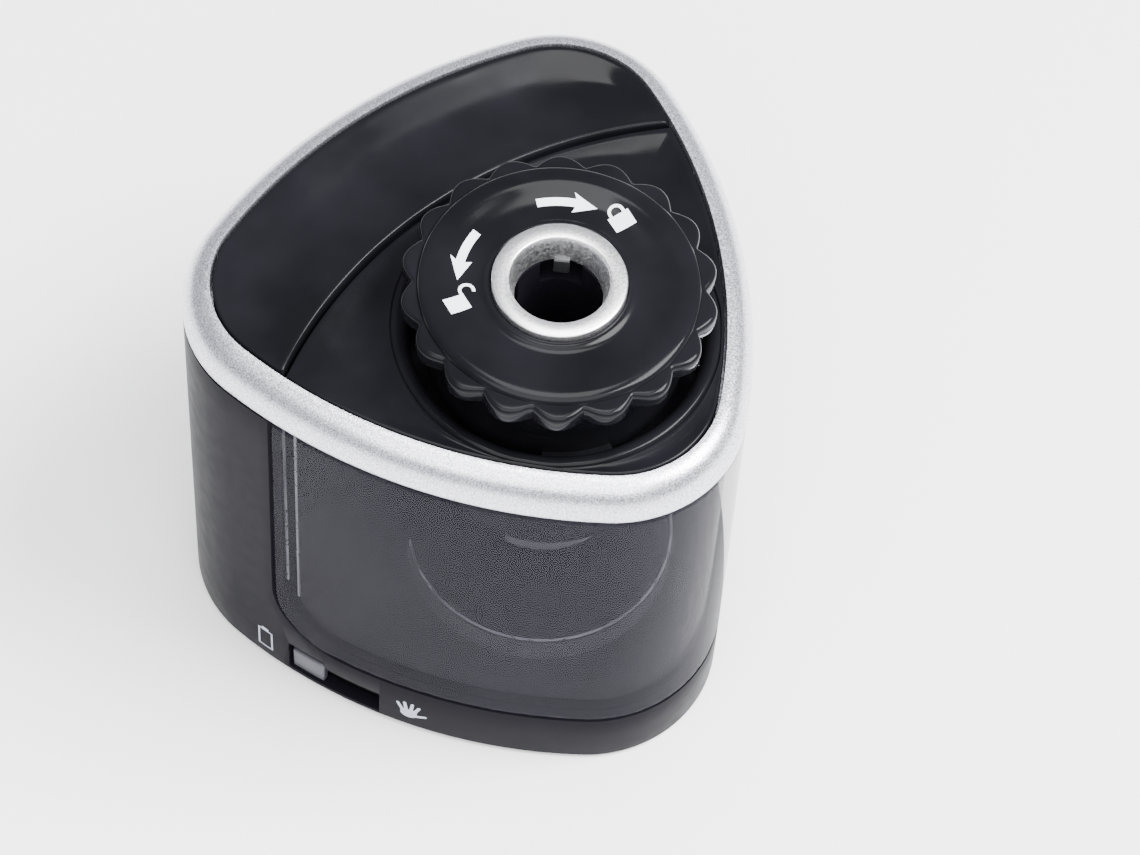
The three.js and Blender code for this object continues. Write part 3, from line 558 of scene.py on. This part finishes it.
def make_front_deck():
    """The panel as rings about the knob's axis, from its skirt over the top and down into the well."""
    offset = -BEZEL_REACH - PANEL_GAP
    radius = PARTING_R - PARTING_HALF
    boundary = outline(offset, 40, 60)
    s_corner = crossing(radius, offset)
    x, y, _angle = outline_at(s_corner, offset)
    corner_angle = math.atan2(y - KNOB_Y, x)
    turns = [2 * math.pi * i / 288 for i in range(288)]
    turns += [corner_angle, math.pi - corner_angle]
    turns = sorted(turns)
    reach = [deck_reach(t, radius, boundary) for t in turns]
    count = len(turns)
    rows = []

    def ring(radii, heights):
        rows.append([
            (radii[i] * math.cos(turns[i]), KNOB_Y + radii[i] * math.sin(turns[i]), heights[i])
            for i in range(count)])

    def flat_ring(r, z):
        ring([r] * count, [z] * count)

    skirt = 2.5
    under_side = 72.8
    edge = 0.45
    ring([r - skirt for r in reach], [under_side] * count)
    ring([r - skirt for r in reach], [PANEL_BOTTOM] * count)
    ring(reach, [PANEL_BOTTOM] * count)
    for inwards in (0, 0.05, 0.15, 0.3, edge):
        drop = edge_drop(inwards, edge)
        ring([r - inwards for r in reach], [FRONT_PANEL_TOP - drop] * count)
    shares = [i / 14 for i in range(1, 14)]
    for share in shares:
        radii = []
        heights = []
        for r in reach:
            outer = r - edge
            inner = min(WELL_RIM_R + 0.25, outer - 0.02)
            radii.append(outer + (inner - outer) * share)
            dip = 0.9 * math.sin(math.pi * share) * min(1.0, (outer - inner) / 12)
            heights.append(FRONT_PANEL_TOP - dip + 0.05 * share)
        ring(radii, heights)
    groove = [min(WELL_RIM_R + 0.2, r - 0.47) for r in reach]
    ring(groove, [74.8] * count)
    ring([min(WELL_RIM_R + 0.05, r - 0.5) for r in reach], [74.62] * count)
    ring([min(WELL_RIM_R - 0.1, r - 0.6) for r in reach], [FRONT_PANEL_TOP] * count)
    for r, z in ((22.0, 75.0), (21.5, 74.95), (21.0, 74.7), (20.5, 74.2), (20.15, 73.6), (WELL_WALL_R, 72.9)):
        flat_ring(r, z)
    for r, z in ((WELL_WALL_R, 67.6), (19.7, 67.3), (16.5, 67.3), (16.5, 67.2), (20.9, 67.2),
                 (20.9, under_side)):
        flat_ring(r, z)
    points = [p for row in rows for p in row]
    deck = new_object("front_panel", points, ring_faces(len(rows), count), GLOSS_BLACK, 40)
    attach(deck, "housing")
    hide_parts("front_deck")


# ---- body shell ----------------------------------------------------------------------------------
DRAWER_BOTTOM = 12.3
DRAWER_BACK = 1.0
DRAWER_CORNER = 10.6
STEP_R = 20                      # the round step in the drawer's floor, under the cutter
STEP_TOP = 19.8
STEP_EDGE = 19.2
SLOT_S = (-59.6, -44.2)          # the switch's slot, along the outline from the front corner
SLOT_Z = (1.9, 7.5)


def side_view(margin, bottom, top, back):
    """Side view (y, z) of the drawer's space: a box with its lower rear corner rounded."""
    radius = DRAWER_CORNER + margin
    points = [(-60, bottom)]
    points += arc((back - radius, bottom + radius), radius, -90, 0, 16)
    points += [(back, top), (-60, top)]
    return points


def across(name, side_points, x0, x1, material):
    """A side view carried across the width."""
    count = len(side_points)
    points = [(x0, y, z) for y, z in side_points] + [(x1, y, z) for y, z in side_points]
    faces = ring_faces(2, count, closed_rows=False) + end_caps(2, count)
    return new_object(name, points, faces, material)


def wall_block(name, s0, s1, d0, d1, z0, z1, material, steps=8):
    """A piece of the wall's curve between two places and two depths."""
    outer = [outline_at(s0 + (s1 - s0) * i / steps, d1)[:2] for i in range(steps + 1)]
    inner = [outline_at(s1 + (s0 - s1) * i / steps, d0)[:2] for i in range(steps + 1)]
    return extruded(name, outer + inner, z0, z1, material)


def join(objects, name):
    """Makes one piece of several, without joining their surfaces; the first gives the material."""
    work = bmesh.new()
    for obj in objects:
        work.from_mesh(obj.data)
    material = objects[0].data.materials[0]
    mesh = bpy.data.meshes.new(name)
    work.to_mesh(mesh)
    work.free()
    for obj in objects:
        bpy.data.objects.remove(obj)
    obj = bpy.data.objects.new(name, mesh)
    bpy.context.scene.collection.objects.link(obj)
    tidy(obj, material, 35)
    return obj


def make_body_shell():
    """The outer skin with the chamber's floor, and the partition behind the drawer."""
    heights = [SHELL_BOTTOM + 0.3 + (SHELL_TOP - 0.4 - SHELL_BOTTOM) * i / 11 for i in range(12)]
    outer = [(wall_offset(z), z) for z in heights]
    profile = [(wall_offset(1) - 0.35, SHELL_BOTTOM)] + outer + [(-0.15, SHELL_TOP)]
    inner = [(wall_offset(z) - WALL, z) for z in reversed(heights)]
    profile += [(-WALL, SHELL_TOP)] + inner + [(wall_offset(1) - WALL, SHELL_BOTTOM)]
    shell = sweep("body_skin", profile, SATIN_BLACK)
    mouth = side_view(0.7, PLINTH_TOP - 0.1, SHELL_TOP + 5, DRAWER_BACK + 0.75)
    cut(shell, across("mouth", mouth, -60, 60, SATIN_BLACK))
    cut(shell, wall_block("slot", *SLOT_S, -6, 6, *SLOT_Z, SATIN_BLACK))
    scoop = wall_block("scoop", -59.7, -53.3, -0.25, 6, 6.5, 9.0, SATIN_BLACK)
    bevel(scoop, 0.4, 3)
    cut(shell, scoop)
    tidy(shell, SATIN_BLACK)
    bevel(shell, 0.35, 3, 35)
    tidy(shell, SATIN_BLACK, 30)
    inside = [(x, y) for x, y in outline(wall_offset(11) - WALL + 0.02) if y < DRAWER_BACK + 2]
    order = sorted(inside, key=lambda p: (math.atan2(p[1] + 12, p[0]) - math.pi / 2) % (2 * math.pi))
    floor = extruded("floor", order, PLINTH_TOP - WALL, PLINTH_TOP, SATIN_BLACK)
    panel_top = 56
    panel = block("partition_panel", -60, 60, DRAWER_BACK + 1.2, DRAWER_BACK + 2.4, PLINTH_TOP - WALL,
                  panel_top, PANEL_BLACK)
    inside_levels = [(wall_offset(z) - WALL + 0.02, z) for z in (PLINTH_TOP - WALL - 1, 60)]
    cut(panel, plate("inside", inside_levels, SATIN_BLACK), "INTERSECT")
    sleeve_room = 17.1
    sleeve_hole = [about_knob((sleeve_room * math.cos(t), sleeve_room * math.sin(t), 0))[:2]
                   for t in [2 * math.pi * i / 64 for i in range(64)]]
    cut(panel, extruded("hole", sleeve_hole, 30, 70, SATIN_BLACK))
    tidy(panel, PANEL_BLACK, 30)
    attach(panel, "housing")
    shell = join([shell, floor], "body_skin_whole")
    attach(shell, "housing")
    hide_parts("body_shell")


# ---- chip drawer ---------------------------------------------------------------------------------
def drawer_section(inset, z, back, steps=96, back_steps=24):
    """Plan section of the drawer at a height: the front of the outline, closed across the back."""
    offset = wall_offset(z) - inset
    low, high = 20.0, 100.0
    for _ in range(50):
        middle = (low + high) / 2
        if outline_at(middle, offset)[1] < back:
            low = middle
        else:
            high = middle
    points = [outline_at(-low + 2 * low * i / steps, offset)[:2] for i in range(steps + 1)]
    x_end = points[-1][0]
    for i in range(1, back_steps):
        points.append((x_end - 2 * x_end * i / back_steps, back))
    return [(x, y, z) for x, y in points]


def drawer_rings(inset, bottom, top, back, radius, rounding):
    """Sections from the bottom up: (extra inset, lift) pairs at the edge, then the rear corner's arc."""
    rings = []
    for extra, lift in rounding:
        rings.append(drawer_section(inset + extra, bottom + lift,
                                    back - radius + math.sqrt(max(0, radius ** 2 - (radius - lift) ** 2))))
    for i in range(1, 15):
        t = math.radians(90 * i / 14)
        z = bottom + radius * (1 - math.cos(t))
        if z > bottom + rounding[-1][1] + 0.1:
            rings.append(drawer_section(inset, z, back - radius + radius * math.sin(t)))
    for i in range(1, 9):
        rings.append(drawer_section(inset, bottom + radius + (top - bottom - radius) * i / 8, back))
    return rings


def make_drawer():
    """Smoke-clear tray with a round step, a hollow under it and a notch for the cutter."""
    top = SHELL_TOP - 0.2
    outer = drawer_rings(0, DRAWER_BOTTOM, top - 0.3, DRAWER_BACK, DRAWER_CORNER,
                         [(0.55, 0.0), (0.25, 0.1), (0.07, 0.3), (0.0, 0.6)])
    inner = drawer_rings(WALL, DRAWER_BOTTOM + WALL, top - 0.3, DRAWER_BACK - WALL, DRAWER_CORNER - WALL,
                         [(0.8, 0.0), (0.35, 0.15), (0.1, 0.45), (0.0, 0.9)])
    rim = [drawer_section(0.3, top, DRAWER_BACK - 0.3),
           drawer_section(WALL - 0.3, top, DRAWER_BACK - WALL + 0.3)]
    rings = outer + rim + list(reversed(inner))
    count = len(rings[0])
    points = [p for ring in rings for p in ring]
    faces = ring_faces(len(rings), count, closed_rows=False) + end_caps(len(rings), count)
    drawer = new_object("drawer_body", points, faces, SMOKE, 40)

    hull_rings = outer + [drawer_section(0, top, DRAWER_BACK)]
    hull_points = [p for ring in hull_rings for p in ring]
    hull_faces = ring_faces(len(hull_rings), count, closed_rows=False) + end_caps(len(hull_rings), count)
    hull = new_object("hull", hull_points, hull_faces, SMOKE)
    step_profile = [(STEP_R, DRAWER_BOTTOM + WALL - 0.6), (STEP_R, STEP_EDGE), (19.8, 19.65)]
    step_profile += [(19.3, STEP_TOP)]
    boss_profile = [(5.2, STEP_TOP), (5.0, 20.1), (5.0, 21.1), (4.6, 21.5), (0.01, 21.5), (0.01, 13.7)]
    step = turned("step", step_profile + boss_profile, SMOKE, segments=96)
    cut(step, hull, "INTERSECT")
    cut(drawer, step, "UNION")
    under = turned("under", [(18.4, 11), (18.4, 17.9), (18.1, 18.2), (0.01, 18.2), (0.01, 11)], SMOKE,
                   segments=96)
    guard = block("guard", -30, 30, -50, DRAWER_BACK - 3.4, 5, 30, SMOKE)
    cut(under, guard, "INTERSECT")
    cut(drawer, under)
    notch = [(-17.6, 75), (-17.6, 31)] + arc((-11.6, 31), 6, 180, 270, 8) + arc((11.6, 31), 6, 270, 360, 8)
    notch += [(17.6, 75)]
    cut(drawer, front_view("notch", notch, DRAWER_BACK - 5, DRAWER_BACK + 3, SMOKE))
    cut(drawer, block("trim", -34, 34, DRAWER_BACK - 3, DRAWER_BACK + 1, 66.6, 75, SMOKE))
    bump_block = wall_block("catch", -30, -25, -WALL - 1, -WALL / 2, top - 2.4, top - 0.05, SMOKE)
    bevel(bump_block, 0.35, 3)
    cut(drawer, bump_block, "UNION")
    tidy(drawer, SMOKE, 30)
    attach(drawer, "drawer")
    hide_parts("chip_drawer")


def ring_part(name, inner, outer, z0, z1, start, end, material):
    """Part of a ring round the knob's axis, between two angles."""
    edge = arc((0, 0), outer, start, end, 60) + arc((0, 0), inner, end, start, 60)
    return extruded(name, [about_knob((x, y, 0))[:2] for x, y in edge], z0, z1, material)


def wall_strip(name, s0, s1, depth0, depth1, z0, z1, material, steps=10):
    """A thin upright strip that leans with the wall."""
    points = []
    for i in range(steps + 1):
        z = z0 + (z1 - z0) * i / steps
        for s, depth in ((s0, depth0), (s1, depth0), (s1, depth1), (s0, depth1)):
            points.append((*outline_at(s, wall_offset(z) - depth)[:2], z))
    faces = ring_faces(steps + 1, 4, closed_rows=False) + end_caps(steps + 1, 4)
    return new_object(name, points, faces, material)


def make_drawer_painted_highlights():
    """Painted highlights inside the drawer: lighter strips that stand for light caught on the round step, its
    side wall and the upright ribs.
    """
    # Painted light: a lighter band on the step's side wall, standing for the light that falls on it.
    band = ring_part("step_painted_band", 20.02, 20.12, 14.5, STEP_EDGE, 150, 390, SMOKE_PAINTED_BAND)
    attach(band, "drawer")
    # Painted highlights: a lighter strip on the step's lip, and upright rib strips standing for light caught
    # on the drawer's rear wall edges.
    highlight_pieces = [ring_part("step_lip_highlight", 19.6, 19.95, STEP_TOP, 19.92, 150, 390, SMOKE_PAINTED_HIGHLIGHT)]
    for side in (-1, 1):
        for s, z0 in ((61.2, 24), (59.2, 21)):
            near, far = sorted((side * s, side * (s - 0.35)))
            highlight_pieces.append(wall_strip(f"rib_{side}_{z0}", near, far, WALL + 0.02, WALL + 0.25, z0, 66.5,
                                     SMOKE_PAINTED_HIGHLIGHT))
    # Painted highlight: a lighter patch at the catch, standing for light caught there.
    highlight_pieces.append(wall_strip("catch_painted_highlight", -29.6, -25.4, WALL + 0.05, WALL + 0.2, 66.3, 68.5, SMOKE_PAINTED_HIGHLIGHT, 2))
    edges = join(highlight_pieces, "drawer_painted_highlights")
    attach(edges, "drawer")


# ---- knob ----------------------------------------------------------------------------------------
# Radius and height along the knob's dished top.
DISH = [(9.18, 84.35), (9.3, 84.7), (9.6, 84.86), (10.0, 84.84), (10.3, 84.66), (10.6, 84.52),
        (11.2, 84.46), (12.2, 84.46), (13.2, 84.56), (14.2, 84.76), (15.0, 84.98), (15.7, 85.2),
        (16.2, 85.33), (16.7, 85.39)]


def dish_height(r):
    for (r0, z0), (r1, z1) in zip(DISH, DISH[1:]):
        if r0 <= r <= r1:
            return z0 + (z1 - z0) * (r - r0) / (r1 - r0)
    return DISH[-1][1]


def make_knob():
    """The scalloped cap with its bayonet lugs."""
    # Each row: base radius, how much of the scallop it carries, height.
    rows = [(9.18, 0, KNOB_BOTTOM)] + [(r, 0, z) for r, z in DISH]
    rows += [(17.2, 0, 85.4), (17.6, 0, 85.38), (18.2, 0, 85.28), (18.6, 0, 85.1), (18.85, 0, 84.85)]
    rows += [(18.95, 0, 84.62), (19.0, 0, 84.5), (19.03, 0.5, 84.5), (19.06, 0.86, 84.5)]
    rows += [(19.15, 0.92, 84.46), (19.35, 0.96, 84.36), (19.5, 0.985, 84.18), (19.58, 1.0, 83.95)]
    rows += [(19.6, 1.0, 83.6)]
    rows += [(19.6, 1.0, 82.1), (19.52, 1.0, 81.8), (19.3, 0.97, 81.64), (18.9, 0.8, 81.6)]
    rows += [(18.2, 0.2, 81.6), (17.8, 0, 81.3), (17.8, 0, 69.4), (17.5, 0, KNOB_BOTTOM)]
    segments = SCALLOPS * 20
    scallop_height = 1.7
    points = []
    for r, share, z in rows:
        for i in range(segments):
            t = 2 * math.pi * i / segments
            wave = math.sqrt(0.5 - 0.5 * math.cos(SCALLOPS * t) + 0.004)
            radius = r + scallop_height * share * wave
            points.append(about_knob((radius * math.cos(t), radius * math.sin(t), z)))
    knob = new_object("knob_cap", points, ring_faces(len(rows), segments), GLOSS_BLACK, 42)
    lugs = []
    for k in range(3):
        middle = 120 * k
        sector = arc((0, 0), 17.3, middle + 15, middle - 15, 10)
        sector += arc((0, 0), 19.5, middle - 15, middle + 15, 10)
        lugs.append(extruded(f"lug_{k}", [about_knob((x, y, 0))[:2] for x, y in sector], 69.25, 70.75,
                             GLOSS_BLACK))
    knob = join([knob] + lugs, "knob_cap_whole")
    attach(knob, "knob_unit")
    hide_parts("knob")


def make_metal_ring():
    profile = [(9.12, 83.7), (9.12, 85.36), (9.05, 85.54), (8.88, RING_TOP), (7.0, RING_TOP)]
    profile += [(6.84, 85.6), (6.72, 85.4), (6.55, 84.8), (6.35, 84.0), (6.15, 83.1), (6.0, 82.3)]
    profile += [(5.95, 81.7), (6.7, 81.7), (6.7, 83.3), (7.2, 83.7)]
    ring = turned("ring_insert", profile, RING_SILVER, segments=160, sharp=40)
    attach(ring, "knob_unit")
    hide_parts("metal_ring")


def make_guide_tube():
    profile = [(5.95, 58.2), (7.1, 58.2), (7.1, 64.3), (8.95, 64.3), (8.95, 83.0), (6.75, 83.0)]
    profile += [(6.75, 81.5), (6.2, 81.5), (5.95, 81.2)]
    tube = turned("guide_sleeve", profile, SATIN_BLACK, segments=96)
    for angle in (FEELER_ANGLE + 90, FEELER_ANGLE + 180, FEELER_ANGLE + 270):
        slot = block("slot", 5.0, 7.8, -2.1, 2.1, 66, 84.5, SATIN_BLACK)
        turn_about_knob(slot, angle)
        cut(tube, slot)
    for width, reach, low in ((2.9, 7.6, 76.8), (1.5, 9.6, 78.3)):
        window = block("slot", 4.5, reach, -width, width, low, 82.5, SATIN_BLACK)
        turn_about_knob(window, FEELER_ANGLE)
        cut(tube, window)
    tidy(tube, SATIN_BLACK, 30)
    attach(tube, "knob_unit")
    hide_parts("guide_tube")


def turn_about_knob(obj, degrees):
    """Turns a piece made round the plan's centre, then sets it on the knob's axis."""
    shift = Matrix.Translation(Vector((0, PLAN_Y, 0)) * 0.001)
    to_axis = Matrix.Translation(Vector((0, KNOB_Y + PLAN_Y, 0)) * 0.001)
    obj.data.transform(to_axis @ Matrix.Rotation(math.radians(degrees), 4, "Z") @ shift.inverted())


def make_feeler():
    shape = [(5.35, 79.4), (5.8, 78.7), (10.9, 78.7), (10.9, 82.2), (5.6, 82.2), (5.35, 81.9)]
    half = 1.1
    feeler = front_view("feeler_finger", shape, -half, half, DARK_GREY)
    bevel(feeler, 0.2, 2)
    turn_about_knob(feeler, FEELER_ANGLE)
    tidy(feeler, DARK_GREY)
    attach(feeler, "feeler")
    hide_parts("start_feeler")


# ---- printed marks -------------------------------------------------------------------------------
INK = 0.04                       # how far the ink stands out
INK_FOOT = -0.02                 # how far its hidden side lies in
INK_STEP = 0.4                   # spacing of the cuts that let a mark follow its surface


def printed(name, flat, mapping, body):
    """A flat outline laid on a surface; mapping gives the place of (x, y) lifted by a height."""
    work = bmesh.new()
    vertices = [work.verts.new((x, y, 0)) for x, y in flat]
    work.faces.new(vertices)
    xs = [p[0] for p in flat]
    ys = [p[1] for p in flat]
    for axis, low, high in ((0, min(xs), max(xs)), (1, min(ys), max(ys))):
        value = low + INK_STEP
        while value < high:
            spot = Vector((value, 0, 0)) if axis == 0 else Vector((0, value, 0))
            normal = Vector((1, 0, 0)) if axis == 0 else Vector((0, 1, 0))
            geometry = work.verts[:] + work.edges[:] + work.faces[:]
            bmesh.ops.bisect_plane(work, geom=geometry, plane_co=spot, plane_no=normal)
            value += INK_STEP
    bmesh.ops.triangulate(work, faces=work.faces)
    work.verts.index_update()
    lower = [mapping(v.co.x, v.co.y, INK_FOOT) for v in work.verts]
    upper = [mapping(v.co.x, v.co.y, INK) for v in work.verts]
    count = len(lower)
    faces = [tuple(v.index + count for v in f.verts) for f in work.faces]
    faces += [tuple(v.index for v in reversed(f.verts)) for f in work.faces]
    for edge in work.edges:
        if edge.is_boundary:
            a, b = (v.index for v in edge.verts)
            faces.append((a, b, b + count, a + count))
    work.free()
    ink = WHITE_INK if body == "knob_unit" else WALL_INK
    mark = new_object(name, lower + upper, faces, ink)
    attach(mark, body)


def on_dish(x, y, lift):
    """The place of a mark's point on the knob's top."""
    return about_knob((x, y, dish_height(math.hypot(x, y)) + lift))


def turned_shape(shape, angle, centre):
    """A flat shape turned by an angle, then moved to a centre."""
    c, s = math.cos(math.radians(angle)), math.sin(math.radians(angle))
    return [(centre[0] + x * c - y * s, centre[1] + x * s + y * c) for x, y in shape]


def arrow(radius, start, tip, name):
    """A curved arrow about the knob's axis, from one angle to another."""
    head = 13 if tip > start else -13
    neck = tip - head
    body = 0.6
    wing = 1.5
    outline_points = []
    steps = 14
    for i in range(steps + 1):
        t = math.radians(start + (neck - start) * i / steps)
        outline_points.append(((radius + body) * math.cos(t), (radius + body) * math.sin(t)))
    back = math.radians(neck - head * 0.12)
    outline_points.append(((radius + wing) * math.cos(back), (radius + wing) * math.sin(back)))
    end = math.radians(tip)
    outline_points.append((radius * math.cos(end), radius * math.sin(end)))
    outline_points.append(((radius - wing) * math.cos(back), (radius - wing) * math.sin(back)))
    for i in range(steps, -1, -1):
        t = math.radians(start + (neck - start) * i / steps)
        outline_points.append(((radius - body) * math.cos(t), (radius - body) * math.sin(t)))
    printed(name, outline_points, on_dish, "knob_unit")


def polar(radius, angle):
    return radius * math.cos(math.radians(angle)), radius * math.sin(math.radians(angle))


def padlock(name, centre, angle, is_open):
    half = 1.55
    body = rectangle(-half, half, -1.35, 1.05)
    printed(name + "_body", turned_shape(body, angle, centre), on_dish, "knob_unit")
    outer, inner = 1.15, 0.72
    if is_open:
        hinge = (half + outer - 0.45, 1.25)
        band = arc(hinge, outer, 205, -35, 20) + arc(hinge, inner, -35, 205, 20)
    else:
        band = [(outer, 0.95)] + arc((0, 1.45), outer, 0, 180, 16) + [(-outer, 0.95), (-inner, 0.95)]
        band += arc((0, 1.45), inner, 180, 0, 16) + [(inner, 0.95)]
    printed(name + "_shackle", turned_shape(band, angle, centre), on_dish, "knob_unit")


def make_knob_marks():
    arrow(13.6, 105, 140, "unlock_arrow")
    arrow(13.3, 64, 28, "lock_arrow")
    padlock("open_lock", polar(14.1, 155.5), -9, True)
    padlock("closed_lock", polar(13.4, 12), -9, False)


def make_wall_marks():
    """The battery and the hand beside the switch."""
    def on_wall(centre_s, centre_z):
        def mapping(x, y, lift):
            z = centre_z + y
            px, py, _angle = outline_at(centre_s + x, wall_offset(z) + lift)
            return (px, py, z)
        return mapping

    half_w, half_h, line = 1.35, 2.6, 0.3
    cell = on_wall(-64.0, 5.7)
    bars = {
        "cell_left": rectangle(-half_w, -half_w + line, -half_h, half_h),
        "cell_right": rectangle(half_w - line, half_w, -half_h, half_h),
        "cell_base": rectangle(-half_w, half_w, -half_h, -half_h + line),
        "cell_top": rectangle(-half_w, half_w, half_h - line, half_h),
        "cell_cap": rectangle(-0.6, 0.6, half_h, half_h + 0.55),
    }
    for name, flat in bars.items():
        printed(name, flat, cell, "housing")
    hand = on_wall(-39.5, 5.4)
    palm = arc((0, -0.65), 1.35, 200, 340, 10) + [(1.3, 0.45), (-1.3, 0.35)]
    printed("hand_palm", palm, hand, "housing")
    fingers = [(-1.1, 0.15, 112, 1.9), (-0.38, 0.25, 98, 2.25), (0.36, 0.25, 84, 2.2), (1.0, 0.15, 68, 1.85),
               (1.05, -1.2, 22, 1.9)]
    for i, (x, y, angle, length) in enumerate(fingers):
        shape = [(0, -0.28), (length - 0.25, -0.25)] + arc((length - 0.25, 0), 0.25, -90, 90, 6)
        shape += [(length - 0.25, 0.25), (0, 0.28)]
        printed(f"hand_finger_{i + 1}", turned_shape(shape, angle, (x, y)), hand, "housing")


# ---- mode switch ---------------------------------------------------------------------------------
def make_mode_switch():
    """The switch behind the slot and its slider; depths are from the wall's face at the slider's height."""
    face = wall_offset(5)
    recess = 2.15
    button_ends = (-59.2, -53.6)
    stem_ends = (-57.6, -55.2)
    stem_heights = (3.7, 5.3)
    track = wall_block("switch_track", -61, -43, face - 7.6, face - recess, 1.6, 9.4, SATIN_BLACK)
    groove = wall_block("groove", *SLOT_S, face - 6.8, face - 0.5, 3.4, 5.6, SATIN_BLACK)
    cut(track, groove)
    bevel(track, 0.15, 2)
    # The rib lies below the stem and behind the button, so that both pass it.
    rib = wall_block("switch_rib", -59.4, -44.4, face - 2.3, face - 2.0, 2.75, 3.25, RUBBER)
    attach(rib, "housing")
    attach(track, "housing")
    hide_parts("mode_switch")
    slider = wall_block("slider_button", *button_ends, face - 1.6, face - 0.35, 2.1, 7.1, GREY_PLASTIC)
    bevel(slider, 0.35, 3)
    stem = wall_block("stem", *stem_ends, face - 6.2, face - 1.0, *stem_heights, GREY_PLASTIC)
    slider = join([slider, stem], "slider_button_whole")
    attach(slider, "slider")
    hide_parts("mode_slider")


# ---- carried-over nodes --------------------------------------------------------------------------
def dress(node, material):
    """Gives a CAD node that is shown as it is its own material."""
    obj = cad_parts[node]
    obj.data.materials.clear()
    obj.data.materials.append(material)


def dress_internals():
    by_material = {
        STEEL: ["helical_cutter", "cutter_axle", "motor", "motor_shaft", "compound_axle", "idler_axle"],
        NICKEL: ["motor_pinion", "contact_strap_left", "contact_strap_right"],
        CARRIER: ["cutter_carrier"],
        WHITE_PLASTIC: ["cutter_pinion", "ring_gear", "compound_gear", "idler_gear"],
        GREY_PLASTIC: ["gear_plate"],
        SATIN_BLACK: ["cutter_housing", "base_cover", "battery_door"],
    }
    for i in range(1, 5):
        by_material[RUBBER] = by_material.get(RUBBER, []) + [f"rubber_foot_{i}"]
        by_material[JACKET] = by_material.get(JACKET, []) + [f"battery_{i}"]
        by_material[NICKEL].append(f"contact_spring_{i}")
        by_material[STEEL].append(f"cover_screw_{i}")
    for material, nodes in by_material.items():
        for node in nodes:
            dress(node, material)


# ---- stage ---------------------------------------------------------------------------------------
def make_stage():
    mesh = bpy.data.meshes.new("floor")
    mesh.from_pydata([(-3, -3, 0), (3, -3, 0), (3, 3, 0), (-3, 3, 0)], [], [(0, 1, 2, 3)])
    floor = bpy.data.objects.new("floor", mesh)
    bpy.context.scene.collection.objects.link(floor)
    material, _tree, _shader = material_base("floor_paper", (0.96, 0.96, 0.975), 0.6)
    mesh.materials.append(material)
    world = bpy.data.worlds.new("studio")
    bpy.context.scene.world = world
    world.use_nodes = True
    background = world.node_tree.nodes["Background"]
    background.inputs["Color"].default_value = (0.93, 0.94, 1.0, 1)
    background.inputs["Strength"].default_value = 0.55


def area_light(name, location, target, size, power):
    """A soft rectangular light aimed at a target: metres and watts."""
    light = bpy.data.lights.new(name, "AREA")
    light.shape = "RECTANGLE"
    light.size, light.size_y = size
    light.energy = power
    obj = bpy.data.objects.new(name, light)
    obj.location = location
    direction = Vector(target) - Vector(location)
    obj.rotation_euler = direction.to_track_quat("-Z", "Y").to_euler()
    bpy.context.scene.collection.objects.link(obj)


def make_lights():
    middle = (0, 0, 0.04)
    area_light("key", (0.62, -0.60, 1.25), middle, (0.75, 0.75), 74.0)
    area_light("top", (0.10, 0.11, 1.30), middle, (0.5, 0.5), 12.0)
    area_light("front", (-0.42, -0.44, 1.00), middle, (1.2, 1.0), 27.0)


def make_camera():
    azimuth, elevation, roll = math.radians(-44.079), math.radians(58.705), math.radians(5.29)
    distance = 459.174
    target = Vector((5.734, -11.398, 40))
    back = Vector((math.sin(azimuth) * math.cos(elevation), -math.cos(azimuth) * math.cos(elevation),
                   math.sin(elevation)))
    right = Vector((math.cos(azimuth), math.sin(azimuth), 0))
    up = back.cross(right)
    turned_right = right * math.cos(roll) + up * math.sin(roll)
    turned_up = up * math.cos(roll) - right * math.sin(roll)
    camera_data = bpy.data.cameras.new("camera")
    camera_data.sensor_width = 36
    camera_data.lens = 99.52
    camera_data.clip_start = 0.01
    camera_data.clip_end = 20
    camera = bpy.data.objects.new("camera", camera_data)
    rotation = Matrix((turned_right, turned_up, back)).transposed().to_4x4()
    camera.matrix_world = Matrix.Translation(place(target + back * distance)) @ rotation
    bpy.context.scene.collection.objects.link(camera)
    bpy.context.scene.camera = camera


make_bezel()
make_rear_deck()
make_front_deck()
make_body_shell()
make_drawer()
make_drawer_painted_highlights()
make_knob()
make_metal_ring()
make_guide_tube()
make_feeler()
make_knob_marks()
make_wall_marks()
make_mode_switch()
dress_internals()
make_stage()
make_lights()
make_camera()
